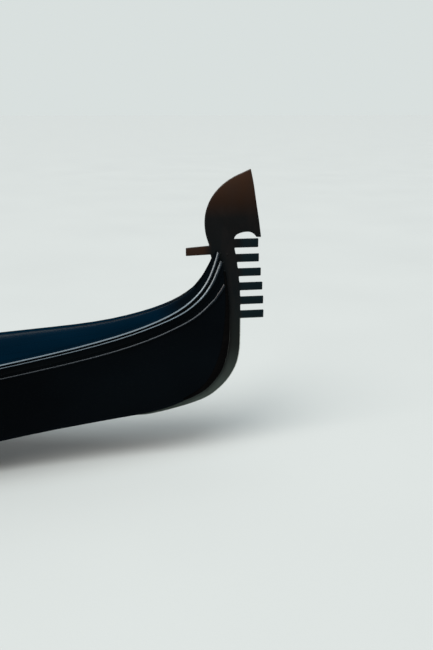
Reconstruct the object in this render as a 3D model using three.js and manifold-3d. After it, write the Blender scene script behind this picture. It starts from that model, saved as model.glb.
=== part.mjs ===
// A gondola: a long flat-bottomed rowing boat with a rising bow and stern, decked at both ends.
// Millimetres. +X is the bow, +Y is port, +Z is up. The origin is amidships, on the waterline.
import * as THREE from "three";
import { mergeVertices } from "three/addons/utils/BufferGeometryUtils.js";
import Module from "manifold-3d";

const wasm = await Module();
wasm.setup();

// Driving dimensions
const GAP = 0.4; // between pieces that touch
const SINK = 1; // how far one board of a joined piece runs into the next
const PLANK = 14; // side plank thickness
const BOTTOM = 16; // bottom planking thickness
const LEAN = 90; // how far the middle of the hull lies to port of the line from stem to stern
const HALF_LENGTH = 5400;
const CAP_WIDTH = 52; // gunwale cap, measured inboard from the plank's outer face
const CAP_DEPTH = 22;
const APRON = 68; // how far the gunwale's outer face comes down the plank
// How far the rub bead lies below the sheer, and the distances from amidships where that changes.
const BEAD_DROP = { along: 94, ends: 104, from: 5000, to: 5160 };
const BEAD = { half: 7, proud: 8, seat: 0.8 };
const STRINGER = { width: 26, depth: 60 };
const RIB = { width: 24, depth: 32 };
const DECK = { thickness: 14, crown: 34, drop: 4 };
const STEM_HALF = 25; // half thickness of the stem and stern timbers
const IRON = 10; // thickness of the irons

// The hull's outer lines, stern to bow. The side is straight from its sheer to its lower edge.
// Columns: sheer x, sheer half breadth, sheer z, lower edge x, lower half breadth, lower edge z.
const HULL = [
  [-5279, 26, 1262, -5314, 25, 1140],
  [-5270, 32, 1225, -5324, 25, 950],
  [-5248, 46, 1160, -5316, 25, 770],
  [-5208, 68, 1080, -5282, 26, 615],
  [-5140, 95, 990, -5200, 27, 470],
  [-5020, 128, 905, -5070, 38, 372],
  [-4850, 164, 828, -4890, 62, 314],
  [-4600, 212, 762, -4600, 100, 270],
  [-4200, 306, 697, -4200, 156, 226],
  [-3400, 464, 598, -3400, 268, 128],
  [-2700, 568, 531, -2700, 352, 36],
  [-2000, 638, 478, -2000, 412, -56],
  [-1000, 692, 432, -1000, 457, -142],
  [0, 710, 420, 0, 470, -170],
  [1000, 690, 434, 1000, 456, -140],
  [2000, 636, 482, 2000, 410, -50],
  [2700, 566, 538, 2700, 350, 50],
  [3400, 460, 611, 3400, 265, 150],
  [4200, 302, 708, 4200, 152, 250],
  [4600, 210, 765, 4600, 98, 287],
  [4860, 160, 826, 4900, 60, 312],
  [5040, 124, 895, 5080, 38, 357],
  [5150, 93, 970, 5211, 27, 442],
  [5212, 66, 1042, 5286, 26, 594],
  [5246, 46, 1108, 5314, 25, 750],
  [5266, 33, 1160, 5323, 25, 920],
  [5276, 26, 1192, 5311, 25, 1080],
];
const STEPS = 2; // stations to each interval of the table
const EDGE_LEFT = 4; // least height of plank left below any line on its face
const SIDES = { port: 1, starboard: -1 };

// Smooth value through four neighbours of a table column, at a share between the middle two.
function smooth(a, b, c, d, share) {
  const slopeIn = (c - a) / 2;
  const slopeOut = (d - b) / 2;
  const s2 = share * share;
  const s3 = s2 * share;
  return (
    b * (2 * s3 - 3 * s2 + 1) +
    slopeIn * (s3 - 2 * s2 + share) +
    c * (3 * s2 - 2 * s3) +
    slopeOut * (s3 - s2)
  );
}

function tableRow(place) {
  const last = HULL.length - 1;
  const i = Math.min(Math.floor(place), last - 1);
  const rows = [i - 1, i, i + 1, i + 2].map((k) => HULL[Math.max(0, Math.min(last, k))]);
  return HULL[0].map((_, column) => smooth(...rows.map((row) => row[column]), place - i));
}

const leanAt = (x) => LEAN * (1 - (x / HALF_LENGTH) ** 2) ** 2;

// A station of one side: its sheer point, its lower point, the outward level direction and
// how much a distance down the plank grows so that it stays true across the sheer line.
function makeStations(side) {
  const count = (HULL.length - 1) * STEPS;
  const rows = [];
  for (let i = 0; i <= count; i++) rows.push(tableRow(i / STEPS));
  const points = rows.map(([sx, sy, sz, lx, ly, lz]) => ({
    sheer: new THREE.Vector3(sx, side * sy + leanAt(sx), sz),
    low: new THREE.Vector3(lx, side * ly + leanAt(lx), lz),
  }));
  return points.map(({ sheer, low }, i) => {
    const before = points[Math.max(0, i - 1)].sheer;
    const after = points[Math.min(count, i + 1)].sheer;
    const along = after.clone().sub(before).normalize();
    const out = new THREE.Vector3(-along.y, along.x, 0).multiplyScalar(side).normalize();
    const down = low.clone().sub(sheer).normalize();
    const across = down.clone().addScaledVector(along, -down.dot(along)).length();
    const half = Math.abs(sheer.y - leanAt(sheer.x));
    return { sheer, low, half, out, down, stretch: 1 / across, length: low.distanceTo(sheer) };
  });
}
const STATIONS = { port: makeStations(1), starboard: makeStations(-1) };
const LAST_STATION = STATIONS.port.length - 1;

// A point of the side: outward from the plank's face, and down it from the sheer.
function onSide(station, outward, downward) {
  const drop = Math.min(downward * station.stretch, station.length - EDGE_LEFT);
  return station.sheer
    .clone()
    .addScaledVector(station.out, outward)
    .addScaledVector(station.down, drop);
}

// A point of the side between stations, at a given x.
function edgeAt(name, x, outward, downward) {
  const points = STATIONS[name].map((station) => onSide(station, outward, downward));
  const next = points.findIndex((p) => p.x >= x);
  const [a, b] = [points[next - 1], points[next]];
  return a.clone().lerp(b, (x - a.x) / (b.x - a.x));
}

// y of the inside of the plank at a place amidships, less a clearance.
function insideY(name, x, z, clearance) {
  const list = STATIONS[name];
  const next = list.findIndex((s) => s.sheer.x >= x);
  const [a, b] = [list[next - 1], list[next]];
  const share = (x - a.sheer.x) / (b.sheer.x - a.sheer.x);
  const sheer = a.sheer.clone().lerp(b.sheer, share);
  const low = a.low.clone().lerp(b.low, share);
  const outer = low.y + ((sheer.y - low.y) * (z - low.z)) / (sheer.z - low.z);
  return outer - SIDES[name] * (PLANK / Math.abs(a.out.y) + clearance);
}

const sheerAt = (x) => edgeAt("port", x, 0, 0).z;

function bottomAt(x) {
  const list = STATIONS.port;
  const next = list.findIndex((s) => s.low.x >= x);
  const [a, b] = [list[next - 1].low, list[next].low];
  return a.z + ((b.z - a.z) * (x - a.x)) / (b.x - a.x) - GAP;
}

function stationsBetween(x0, x1, apart = 20) {
  const inner = STATIONS.port.map((s) => s.sheer.x).filter((x) => x > x0 + apart && x < x1 - apart);
  return [x0, ...inner, x1];
}

// Geometry helpers
function signedVolume(positions, index) {
  let sum = 0;
  const [a, b, c] = [new THREE.Vector3(), new THREE.Vector3(), new THREE.Vector3()];
  for (let i = 0; i < index.length; i += 3) {
    a.fromArray(positions, 3 * index[i]);
    b.fromArray(positions, 3 * index[i + 1]);
    c.fromArray(positions, 3 * index[i + 2]);
    sum += a.dot(b.cross(c));
  }
  return sum;
}

// A closed body through sections of the same number of points. The outline is one section in
// its own plane, and gives the triangles of the two ends. Each face is halved along its shorter
// diagonal, so that two faces side by side are halved alike.
function loft(sections, outline) {
  const n = sections[0].length;
  const points = sections.flat();
  const positions = points.flatMap((p) => p.toArray());
  const index = [];
  for (let s = 0; s + 1 < sections.length; s++) {
    for (let i = 0; i < n; i++) {
      const j = (i + 1) % n;
      const [a, b, c, d] = [s * n + i, s * n + j, (s + 1) * n + j, (s + 1) * n + i];
      const straight = points[a].distanceTo(points[c]) < points[b].distanceTo(points[d]);
      if (straight) index.push(a, b, c, a, c, d);
      else index.push(a, b, d, b, c, d);
    }
  }
  const flat = outline.map(([u, v]) => new THREE.Vector2(u, v));
  const anticlockwise = !THREE.ShapeUtils.isClockWise(flat);
  const end = (sections.length - 1) * n;
  for (const [a, b, c] of THREE.ShapeUtils.triangulateShape(flat, [])) {
    if (anticlockwise) index.push(c, b, a, end + a, end + b, end + c);
    else index.push(a, b, c, end + c, end + b, end + a);
  }
  if (signedVolume(positions, index) < 0) {
    for (let i = 0; i < index.length; i += 3) {
      [index[i], index[i + 1]] = [index[i + 1], index[i]];
    }
  }
  const geometry = new THREE.BufferGeometry();
  geometry.setAttribute("position", new THREE.Float32BufferAttribute(positions, 3));
  geometry.setIndex(index);
  return geometry;
}

function box(x0, x1, y0, y1, z0, z1) {
  const geometry = new THREE.BoxGeometry(x1 - x0, y1 - y0, z1 - z0);
  geometry.translate((x0 + x1) / 2, (y0 + y1) / 2, (z0 + z1) / 2);
  return geometry;
}

const acrossAt = (x, outline) => outline.map(([y, z]) => new THREE.Vector3(x, y, z));

// An outline in x and z, of the given thickness across the boat.
function upright(points, centreY, thickness) {
  const shape = new THREE.Shape(points.map(([x, z]) => new THREE.Vector2(x, z)));
  const geometry = new THREE.ExtrudeGeometry(shape, { depth: thickness, bevelEnabled: false });
  geometry.rotateX(Math.PI / 2);
  geometry.translate(0, centreY + thickness / 2, 0);
  return geometry;
}

// An outline in y and z, of the given thickness along the boat.
function crosswise(points, x0, thickness) {
  return loft([acrossAt(x0, points), acrossAt(x0 + thickness, points)], points);
}

function solid(geometry) {
  const bare = geometry.clone();
  bare.deleteAttribute("normal");
  bare.deleteAttribute("uv");
  const merged = mergeVertices(bare, 1e-3);
  return new wasm.Manifold(
    new wasm.Mesh({
      numProp: 3,
      vertProperties: merged.attributes.position.array,
      triVerts: new Uint32Array(merged.index.array),
    }),
  );
}

function geometryOf(made) {
  const mesh = made.getMesh();
  const geometry = new THREE.BufferGeometry();
  geometry.setAttribute("position", new THREE.BufferAttribute(mesh.vertProperties, 3));
  geometry.setIndex(new THREE.BufferAttribute(mesh.triVerts, 1));
  return geometry;
}

const join = (list) => geometryOf(list.map(solid).reduce((a, b) => a.add(b)));
const cut = (body, tools) => geometryOf(tools.map(solid).reduce((a, b) => a.subtract(b), solid(body)));

// Points on a smooth line through the given ones.
function smoothLine(points, steps) {
  const line = new THREE.SplineCurve(points.map(([u, v]) => new THREE.Vector2(u, v)));
  return line.getPoints(steps * (points.length - 1)).map((p) => [p.x, p.y]);
}

const FINISH = {
  lacquer: { color: 0x0a0c10, roughness: 0.22, metalness: 0 },
  deckLacquer: { color: 0x071a2c, roughness: 0.25, metalness: 0 },
  timber: { color: 0x15120f, roughness: 0.5, metalness: 0 },
  boards: { color: 0x3a2c20, roughness: 0.6, metalness: 0 },
  iron: { color: 0x231d1b, roughness: 0.5, metalness: 0.7 },
  brass: { color: 0xb58a3c, roughness: 0.3, metalness: 1 },
  velvet: { color: 0x5a1018, roughness: 0.9, metalness: 0 },
  walnut: { color: 0x5b3a22, roughness: 0.5, metalness: 0 },
};
const gondola = new THREE.Group();

function add(name, geometry, finish) {
  const mesh = new THREE.Mesh(geometry, new THREE.MeshStandardMaterial(FINISH[finish]));
  mesh.name = name;
  gondola.add(mesh);
  return mesh;
}

// Hull
const FIRST_BOTTOM = 5 * STEPS; // station where the bottom planking starts, at the stern
const LAST_BOTTOM = LAST_STATION - 5 * STEPS;

// The bottom and the side planks are laid in lengths that butt. Columns: name, station of its fore end.
const LENGTHS = [
  ["stern", 10 * STEPS],
  ["aft", 12 * STEPS],
  ["middle", 14 * STEPS],
  ["fore", 16 * STEPS],
  ["bow", LAST_STATION],
];

// The sections from a first station on, shared out to the lengths. A butt is a gap wide.
function inLengths(sections, first) {
  const last = first + sections.length - 1;
  let start = first;
  return LENGTHS.map(([name, end]) => {
    const stop = Math.min(end, last);
    const length = sections.slice(start - first, stop - first + 1);
    if (stop < last) {
      const [before, butt] = length.slice(-2);
      const drawnBack = butt.map((p, i) => p.clone().lerp(before[i], GAP / p.distanceTo(before[i])));
      length.splice(-1, 1, drawnBack);
    }
    start = stop;
    return [name, length];
  });
}

function bottomSections() {
  const sections = [];
  for (let i = FIRST_BOTTOM; i <= LAST_BOTTOM; i++) {
    const port = STATIONS.port[i].low;
    const starboard = STATIONS.starboard[i].low;
    const top = port.z - GAP;
    sections.push([
      new THREE.Vector3(port.x, port.y, top),
      new THREE.Vector3(port.x, starboard.y, top),
      new THREE.Vector3(port.x, starboard.y, top - BOTTOM),
      new THREE.Vector3(port.x, port.y, top - BOTTOM),
    ]);
  }
  return sections;
}

function beadDrop(station) {
  const { along, ends, from, to } = BEAD_DROP;
  const share = THREE.MathUtils.smoothstep(Math.abs(station.sheer.x), from, to);
  return THREE.MathUtils.lerp(along, ends, share);
}

// The plank bends at set distances down its face, so that what lies on it follows the same facets.
function sideSections(name) {
  return STATIONS[name].map((station) => {
    const lines = [CAP_DEPTH + GAP, APRON, beadDrop(station) + BEAD.half + 3];
    const outer = [...lines.map((down) => onSide(station, 0, down)), station.low];
    const inner = [...outer].reverse().map((p) => p.clone().addScaledVector(station.out, -PLANK));
    return [...outer, ...inner];
  });
}
const SIDE_OUTLINE = [[1, 0], [1, -1], [1, -2], [1, -3], [0, -3], [0, -2], [0, -1], [0, 0]];

const capWidthAt = (halfBreadth) => Math.min(CAP_WIDTH, 0.62 * halfBreadth);

// The gunwale: a cap on the plank's edge, and an apron outside it with two round beads.
// Columns: outward, down.
const GUNWALE = [
  [3, 0], [8, 2], [10, 7], [8, 12], [5, 14], [5, 17], [8, 19], [10, 24], [8, 29], [5, 31],
  [5, APRON], [GAP, APRON], [GAP, CAP_DEPTH],
];

function gunwale(name) {
  const sections = STATIONS[name].map((station) => {
    const inner = -capWidthAt(station.half);
    const outline = [[inner, 0], ...GUNWALE, [inner, CAP_DEPTH]];
    return outline.map(([outward, down]) => onSide(station, outward, down));
  });
  const flat = [[-CAP_WIDTH, 0], ...GUNWALE, [-CAP_WIDTH, CAP_DEPTH]].map(([o, d]) => [o, -d]);
  return loft(sections, flat);
}

function rubBead(name) {
  const { half, proud, seat } = BEAD;
  const shoulder = [0.7 * proud, 0.75 * half];
  const outline = [[seat, -half], [shoulder[0], -shoulder[1]], [proud, 0], shoulder, [seat, half]];
  const sections = STATIONS[name]
    .slice(STEPS, LAST_STATION - STEPS + 1)
    .map((station) => outline.map(([o, d]) => onSide(station, o, beadDrop(station) + d)));
  return loft(sections, outline);
}

// A deck lies between the inner edges of the two gunwale caps, crowned along its middle.
const DECK_SHARES = [-1, -0.66, -0.33, 0, 0.33, 0.66, 1];

function deckLine(index, down) {
  const [a, b] = ["starboard", "port"].map((name) => {
    const station = STATIONS[name][index];
    return onSide(station, -capWidthAt(station.half) - GAP, down);
  });
  const crown = DECK.crown * Math.min(1, (b.y - a.y) / 500);
  return DECK_SHARES.map((share) => {
    const p = a.clone().lerp(b, (share + 1) / 2);
    return p.setZ(p.z + crown * (1 - share * share));
  });
}

const BOW_DECK = [16 * STEPS + 1, LAST_STATION - 3 * STEPS - 1]; // first and last station
const STERN_DECK = [3 * STEPS + 1, 9 * STEPS];

const deckEnd = (index) => deckLine(index, DECK.drop).map((p) => p.x);

function deck(first, last) {
  const sections = [];
  for (let i = first; i <= last; i++) {
    sections.push([...deckLine(i, DECK.drop), ...deckLine(i, DECK.drop + DECK.thickness).reverse()]);
  }
  const flat = [...DECK_SHARES.map((s) => [s, 1]), ...[...DECK_SHARES].reverse().map((s) => [s, 0])];
  return loft(sections, flat);
}

// Stem and stern timbers close the hull between the ends of the planks and the irons.
const STEM_FRONT = [
  [5081, 336], [5150, 363], [5213, 400], [5262, 449], [5300, 503], [5325, 565], [5342, 650],
  [5348, 760], [5343, 900], [5324, 1076],
];
const STERN_FRONT = [
  [-5071, 353], [-5188, 416], [-5270, 472], [-5324, 545], [-5347, 630], [-5351, 760], [-5347, 930],
  [-5328, 1134],
];
const LINE_STEPS = 3;

// The line of the planks' lower edges in x and z, moved out by the gap from last station to end.
function plankEnds(first, last) {
  const step = first < last ? 1 : -1;
  const points = [];
  for (let i = first; i !== last + step; i += step) {
    const { low } = STATIONS.port[i];
    const beside = [i - 1, i + 1].map((k) => THREE.MathUtils.clamp(k, 0, LAST_STATION));
    const neighbours = beside.map((k) => STATIONS.port[k].low);
    const [runX, runZ] = [neighbours[1].x - neighbours[0].x, neighbours[1].z - neighbours[0].z];
    const reach = (2 * GAP) / Math.hypot(runX, runZ);
    const ahead = Math.sign(low.x);
    points.push([low.x + ahead * Math.abs(runZ) * reach, low.z - Math.abs(runX) * reach]);
  }
  return points;
}

function endTimber(front, stations) {
  const aft = Math.abs(front[0][0]);
  const ends = plankEnds(...stations).map(([x, z]) => [Math.sign(x) * Math.max(Math.abs(x), aft), z]);
  return upright([...smoothLine(front, LINE_STEPS), ...ends], 0, 2 * STEM_HALF);
}

// The line of a timber's front, moved out by the gap and taken round its lower corner.
function timberSide(front) {
  const ahead = Math.sign(front[0][0]);
  const line = smoothLine(front, LINE_STEPS).map(([x, z]) => [x + ahead * 2 * GAP, z - 2 * GAP]);
  return [...line.reverse(), [front[0][0] - ahead * 2 * GAP, front[0][1] - 2 * GAP]];
}

// Under the bottom planking, from its end to where an iron's strap runs out.
function underBottom(first, last) {
  const points = [];
  const step = first < last ? 1 : -1;
  for (let i = first; i !== last + step; i += step) {
    const { x, z } = STATIONS.port[i].low;
    points.push([x, z - BOTTOM - 2 * GAP]);
  }
  return points;
}

// Bow iron: a strap down the stem and under the forefoot, six forward prongs, one back prong,
// and a blade with an arched notch under it.
const BOW_STRAP = [
  [4745, 276], [4800, 262], [4870, 260], [4960, 273], [5050, 292], [5130, 312], [5215, 342],
  [5275, 380], [5335, 437], [5378, 502], [5403, 570], [5414, 660], [5414, 790],
];
const PRONGS = { first: 803, pitch: 80.6, height: 46, lengths: [134, 132, 130, 128, 128, 140] };
const TOP_PRONG = { index: 5, height: 50 };
const ironFront = (z) => 5413 - 0.0003 * Math.max(0, z - 860) ** 2;
const NOTCH = [
  [5374, 1256], [5384, 1274], [5405, 1286], [5440, 1293], [5470, 1290], [5490, 1276], [5500, 1263],
];
const BLADE_FRONT = [[5527, 1262], [5514, 1356], [5500, 1440], [5484, 1543], [5472, 1602], [5464, 1635]];
const BLADE_BACK = [
  [5456, 1631], [5420, 1615], [5375, 1595], [5330, 1568], [5287, 1532], [5252, 1489], [5229, 1445],
  [5214, 1395], [5210, 1340], [5217, 1282], [5236, 1222],
];
const BACK_PRONG = [[5106, 1213], [5106, 1168], [5243, 1172]];
const BOW_TANG = [[5256, 1120], [5292, 1081], [5312, 1081], [5325, 1077]];

function prongs() {
  const points = [];
  PRONGS.lengths.forEach((length, i) => {
    const isTop = i === TOP_PRONG.index;
    const z0 = PRONGS.first + PRONGS.pitch * i;
    const z1 = z0 + (isTop ? TOP_PRONG.height : PRONGS.height);
    const tip = ironFront((z0 + z1) / 2) + length;
    points.push([ironFront(z0), z0], [tip, z0], [tip, z1]);
    if (!isTop) points.push([ironFront(z1), z1]);
  });
  return points;
}

function bowIron() {
  return upright(
    [
      ...smoothLine(BOW_STRAP, LINE_STEPS),
      ...prongs(),
      ...smoothLine(NOTCH, 2),
      ...smoothLine(BLADE_FRONT, 2),
      ...smoothLine(BLADE_BACK, LINE_STEPS),
      ...BACK_PRONG,
      ...BOW_TANG,
      ...timberSide(STEM_FRONT),
      ...underBottom(LAST_BOTTOM, LAST_BOTTOM - 3),
    ],
    0,
    IRON,
  );
}

// Stern iron: a plain strap up the stern, rounded over at its head.
const STERN_STRAP = [
  [-4741, 268], [-4890, 287], [-5060, 324], [-5190, 374], [-5298, 436], [-5360, 520], [-5383, 620],
  [-5387, 760], [-5382, 930], [-5368, 1140], [-5356, 1250],
];
const STERN_HEAD = [
  [-5350, 1290], [-5332, 1308], [-5310, 1300], [-5300, 1270], [-5296, 1200], [-5302, 1146],
  [-5328, 1144],
];

function sternIron() {
  return upright(
    [
      ...smoothLine(STERN_STRAP, LINE_STEPS),
      ...smoothLine(STERN_HEAD, 2),
      ...timberSide(STERN_FRONT),
      ...underBottom(FIRST_BOTTOM, FIRST_BOTTOM + 3),
    ],
    0,
    IRON,
  );
}

// Ribs stand against the plank at each station of the open part, joined by a stringer.
const SEAT_IN = 0.6; // clearance of ribs and stringers from the plank's inner face
const OPEN_FIRST = 9 * STEPS;
const OPEN_LAST = 16 * STEPS + 1;

function stringer(name) {
  const [top, under] = [CAP_DEPTH + GAP, CAP_DEPTH + GAP + STRINGER.depth];
  const [face, inner] = [-PLANK - SEAT_IN, -PLANK - SEAT_IN - STRINGER.width];
  const outline = [[face, top], [face, under], [inner, under], [inner, top]];
  const sections = STATIONS[name]
    .slice(OPEN_FIRST, OPEN_LAST + 1)
    .map((station) => outline.map(([outward, down]) => onSide(station, outward, down)));
  return loft(sections, outline);
}

function rib(name, i) {
  const [before, station, after] = [i - 1, i, i + 1].map((k) => STATIONS[name][k]);
  const topRun = after.sheer.clone().sub(before.sheer).normalize();
  const lowRun = after.low.clone().sub(before.low).normalize();
  const foot = station.low.clone().add(new THREE.Vector3(0, 0, GAP));
  const face = -PLANK - SEAT_IN - GAP / 2;
  const sections = [-RIB.width / 2, RIB.width / 2].map((run) => {
    const [topFace, topInner] = [face, face - RIB.depth].map((d) =>
      onSide(station, d, CAP_DEPTH + 2 * GAP).addScaledVector(topRun, run),
    );
    const [lowFace, lowInner] = [face, face - RIB.depth].map((d) =>
      foot.clone().addScaledVector(station.out, d).addScaledVector(lowRun, run),
    );
    return [topFace, lowFace, lowInner, topInner];
  });
  return loft(sections, [[1, 1], [1, 0], [0, 0], [0, 1]]);
}

function ribSet(name) {
  const ribs = [];
  for (let i = OPEN_FIRST + 1; i < OPEN_LAST; i++) ribs.push(rib(name, i));
  return join([stringer(name), ...ribs]);
}

// Level boards between the ribs, from x0 to x1.
const RIB_REACH = RIB.depth + SEAT_IN + 1.5;
const BOARD_OUTLINE = [[1, 1], [-1, 1], [-1, -1], [1, -1]];

// The section of a level board at x, from plank to plank less a clearance.
function boardAt(x, top, under, clearance) {
  const port = insideY("port", x, under, clearance);
  const starboard = insideY("starboard", x, under, clearance);
  return acrossAt(x, [[port, top], [starboard, top], [starboard, under], [port, under]]);
}

function levelBoards(x0, x1, top, thickness) {
  const sections = stationsBetween(x0, x1).map((x) => boardAt(x, top, top - thickness, RIB_REACH));
  return loft(sections, BOARD_OUTLINE);
}

const FLOOR = { top: -60, thickness: 16, aft: -1520, fore: 1600 };
const BEARER = { places: [-1200, -200, 800], width: 60, half: 340 };
const FORE_PLATFORM = { top: 250, thickness: 18, aft: 1650, fore: 3034 };
const LOW_PLATFORM = { top: 200, thickness: 18, aft: -2430, fore: -1560 };
const HIGH_PLATFORM = { top: 400, thickness: 18, aft: -3388, fore: -2566 };

function bearer(x) {
  const top = FLOOR.top - FLOOR.thickness + SINK;
  const sections = [x, x + BEARER.width].map((at) => {
    const low = bottomAt(at) + GAP;
    const [port, starboard] = [leanAt(at) + BEARER.half, leanAt(at) - BEARER.half];
    return acrossAt(at, [[port, top], [starboard, top], [starboard, low], [port, low]]);
  });
  return loft(sections, BOARD_OUTLINE);
}

function floorboards() {
  const boards = levelBoards(FLOOR.aft, FLOOR.fore, FLOOR.top, FLOOR.thickness);
  return join([boards, ...BEARER.places.map(bearer)]);
}

const platform = ({ aft, fore, top, thickness }) => levelBoards(aft, fore, top, thickness);

// Thwarts cross the boat under the stringers.
const THWART = { width: 120, thickness: 30, endClearance: 5 };
const THWARTS = { fore_thwart: 1690, middle_thwart: -1720, aft_thwart: -2560 }; // aft edge of each

function thwart(x) {
  const ends = [x, x + THWART.width];
  const [inner, down] = [-PLANK - STRINGER.width, CAP_DEPTH + STRINGER.depth + 2 * GAP];
  const under = Object.keys(SIDES).flatMap((name) => ends.map((at) => edgeAt(name, at, inner, down).z));
  const top = Math.min(...under);
  const low = top - THWART.thickness;
  return loft(ends.map((at) => boardAt(at, top, low, THWART.endClearance)), BOARD_OUTLINE);
}

// A board that ends a deck, with a raised and curved crest. Crest columns: share of the half width, rise.
const CREST = [[1, 8], [0.82, 26], [0.62, 34], [0.4, 36], [0.22, 62], [0, 84]];
const COAMING = { thickness: 22, clearance: 2 };

function coaming(x, foot) {
  const at = x + COAMING.thickness / 2;
  const sheer = sheerAt(at);
  const portEdge = edgeAt("port", at, -CAP_WIDTH - COAMING.clearance, 0).y;
  const starboardEdge = edgeAt("starboard", at, -CAP_WIDTH - COAMING.clearance, 0).y;
  const middle = (portEdge + starboardEdge) / 2;
  const half = (portEdge - starboardEdge) / 2;
  const shares = [...CREST, ...[...CREST].reverse().slice(1).map(([share, rise]) => [-share, rise])];
  const crest = smoothLine(shares, 2).map(([share, rise]) => [middle + half * share, sheer + rise]);
  const footPort = insideY("port", at, foot, RIB_REACH);
  const footStarboard = insideY("starboard", at, foot, RIB_REACH);
  return crosswise([...crest, [footStarboard, foot], [footPort, foot]], x, COAMING.thickness);
}

// Passenger furniture stands about the middle line of the open hull.
const MIDDLE = 80;
const SEAT = { aft: -1330, fore: -820, half: 405, boardHalf: 490, top: 200, board: 22, nose: 20 };
const BACK = { aft: -1372, thickness: 40 };
const BACK_SIDE = [[405, -59], [520, 200], [545, 470], [540, 575]]; // half width, z
const BACK_CREST = [[540, 575], [470, 652], [330, 682], [200, 700], [105, 762], [0, 790]];
const CUSHION = { depth: 88, half: 462, behind: 2, overhang: 10 };
const BACK_CUSHION = { thickness: 70, half: 430, top: 620 };

function seatBase() {
  const foot = FLOOR.top + GAP;
  const { aft, fore, half, boardHalf, top, board, nose } = SEAT;
  const under = top - board + SINK;
  return join([
    box(aft, aft + board, MIDDLE - half, MIDDLE + half, foot, under),
    box(fore - board - nose, fore - nose, MIDDLE - half, MIDDLE + half, foot, under),
    box(aft, fore, MIDDLE - boardHalf, MIDDLE + boardHalf, top - board, top),
  ]);
}

function seatBack() {
  const right = [...BACK_SIDE.slice(0, -1), ...smoothLine(BACK_CREST, 3)];
  const left = right.slice(0, -1).reverse().map(([y, z]) => [-y, z]);
  const outline = [...right, ...left].map(([y, z]) => [y + MIDDLE, z]);
  return crosswise(outline, BACK.aft, BACK.thickness);
}

function seatCushion() {
  const { depth, half, behind, overhang } = CUSHION;
  const [aft, fore] = [SEAT.aft + behind, SEAT.fore + overhang];
  return box(aft, fore, MIDDLE - half, MIDDLE + half, SEAT.top + GAP, SEAT.top + depth);
}

function backCushion() {
  const front = BACK.aft + BACK.thickness + GAP;
  const half = BACK_CUSHION.half;
  const foot = SEAT.top + CUSHION.depth + GAP;
  return box(front, front + BACK_CUSHION.thickness, MIDDLE - half, MIDDLE + half, foot, BACK_CUSHION.top);
}

// Side chairs face forward, one each side of the way through.
const CHAIR = { aft: 120, fore: 500, near: 110, far: 446, seat: 190, board: 22, leg: 36, back: 500 };
const CHAIR_CUSHION = { thickness: 52, behind: 3, ahead: 6, beside: 8 };

const chairEdges = (side) => {
  const edges = [MIDDLE + side * CHAIR.near, MIDDLE + side * CHAIR.far];
  return edges.sort((a, b) => a - b);
};

function chair(side) {
  const { aft, fore, seat, board, leg, back } = CHAIR;
  const [foot, under] = [FLOOR.top + GAP, seat - board];
  const [y0, y1] = chairEdges(side);
  const legs = [aft, fore - leg].flatMap((x) =>
    [y0, y1 - leg].map((y) => box(x, x + leg, y, y + leg, foot, under + SINK)),
  );
  const backBoard = box(aft, aft + board, y0, y1, under, back);
  return join([box(aft, fore, y0, y1, under, seat), backBoard, ...legs]);
}

function chairCushion(side) {
  const { thickness, behind, ahead, beside } = CHAIR_CUSHION;
  const { aft, fore, seat, board } = CHAIR;
  const [y0, y1] = chairEdges(side);
  return box(aft + board + behind, fore - ahead, y0 + beside, y1 - beside, seat + GAP, seat + thickness);
}

// Armrests stand on the gunwale caps beside the main seat, and drop towards the bow.
const ARMREST = { aft: -1330, fore: -520, outer: -14, inner: -38, low: 70, high: 155, sections: 8 };

function armrest(name) {
  const { aft, fore, outer, inner, low, high, sections: count } = ARMREST;
  const sections = [];
  for (let i = 0; i <= count; i++) {
    const share = i / count;
    const x = THREE.MathUtils.lerp(aft, fore, share);
    const rise = new THREE.Vector3(0, 0, low + (high - low) * (1 - share) ** 2);
    const [baseOuter, baseInner] = [outer, inner].map((outward) => edgeAt(name, x, outward, -GAP));
    sections.push([baseOuter, baseInner, baseInner.clone().add(rise), baseOuter.clone().add(rise)]);
  }
  return loft(sections, [[1, 0], [0, 0], [0, 1], [1, 1]]);
}

// Brass sea horse in profile on a small plinth, facing the bow. Columns: x, z from the foot's middle.
const SEA_HORSE = [
  [-52, 0], [52, 0], [52, 12], [22, 14], [36, 40], [43, 75], [39, 110], [30, 140], [32, 163], [45, 180],
  [74, 190], [76, 203], [52, 212], [36, 232], [14, 230], [-3, 214], [-9, 190], [-3, 160], [4, 130],
  [0, 100], [-9, 70], [-13, 40], [-20, 14], [-52, 12],
];
const SEA_HORSE_PLACE = { x: -430, outward: -26, thickness: 16, halfPlinth: 52 };

function seaHorse(name) {
  const { x, outward, thickness, halfPlinth } = SEA_HORSE_PLACE;
  const seat = [-halfPlinth, halfPlinth].map((dx) => edgeAt(name, x + dx, outward, -GAP));
  const foot = Math.max(seat[0].z, seat[1].z);
  const outline = SEA_HORSE.map(([dx, dz]) => [x + dx, foot + dz]);
  return upright(outline, (seat[0].y + seat[1].y) / 2, thickness);
}

// Rowlock: a carved walnut post whose shank drops into a block on the starboard gunwale.
const BLOCK = { aft: -2764, fore: -2480, width: 142, rise: 62 };
const SHANK = { middle: -2623, length: 100, width: 38, depth: 150, clearance: 2, fromInner: 38 };
// Columns: x from the shank's middle, z from the block's top.
const ROWLOCK = [
  [64, GAP], [70, 60], [60, 120], [48, 180], [60, 222], [92, 246], [100, 270], [80, 288], [54, 284],
  [42, 302], [50, 326], [80, 344], [92, 372], [76, 400], [40, 410], [5, 396], [-20, 360], [-28, 310],
  [-22, 262], [-40, 216], [-62, 192], [-66, 170], [-52, 148], [-56, 100], [-66, 50], [-64, GAP],
];

const blockTop = edgeAt("starboard", BLOCK.aft, 0, 0).z + BLOCK.rise;
const blockInner = edgeAt("starboard", SHANK.middle, 0, 0).y + BLOCK.width;
const shankY = blockInner - SHANK.fromInner;

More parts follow.
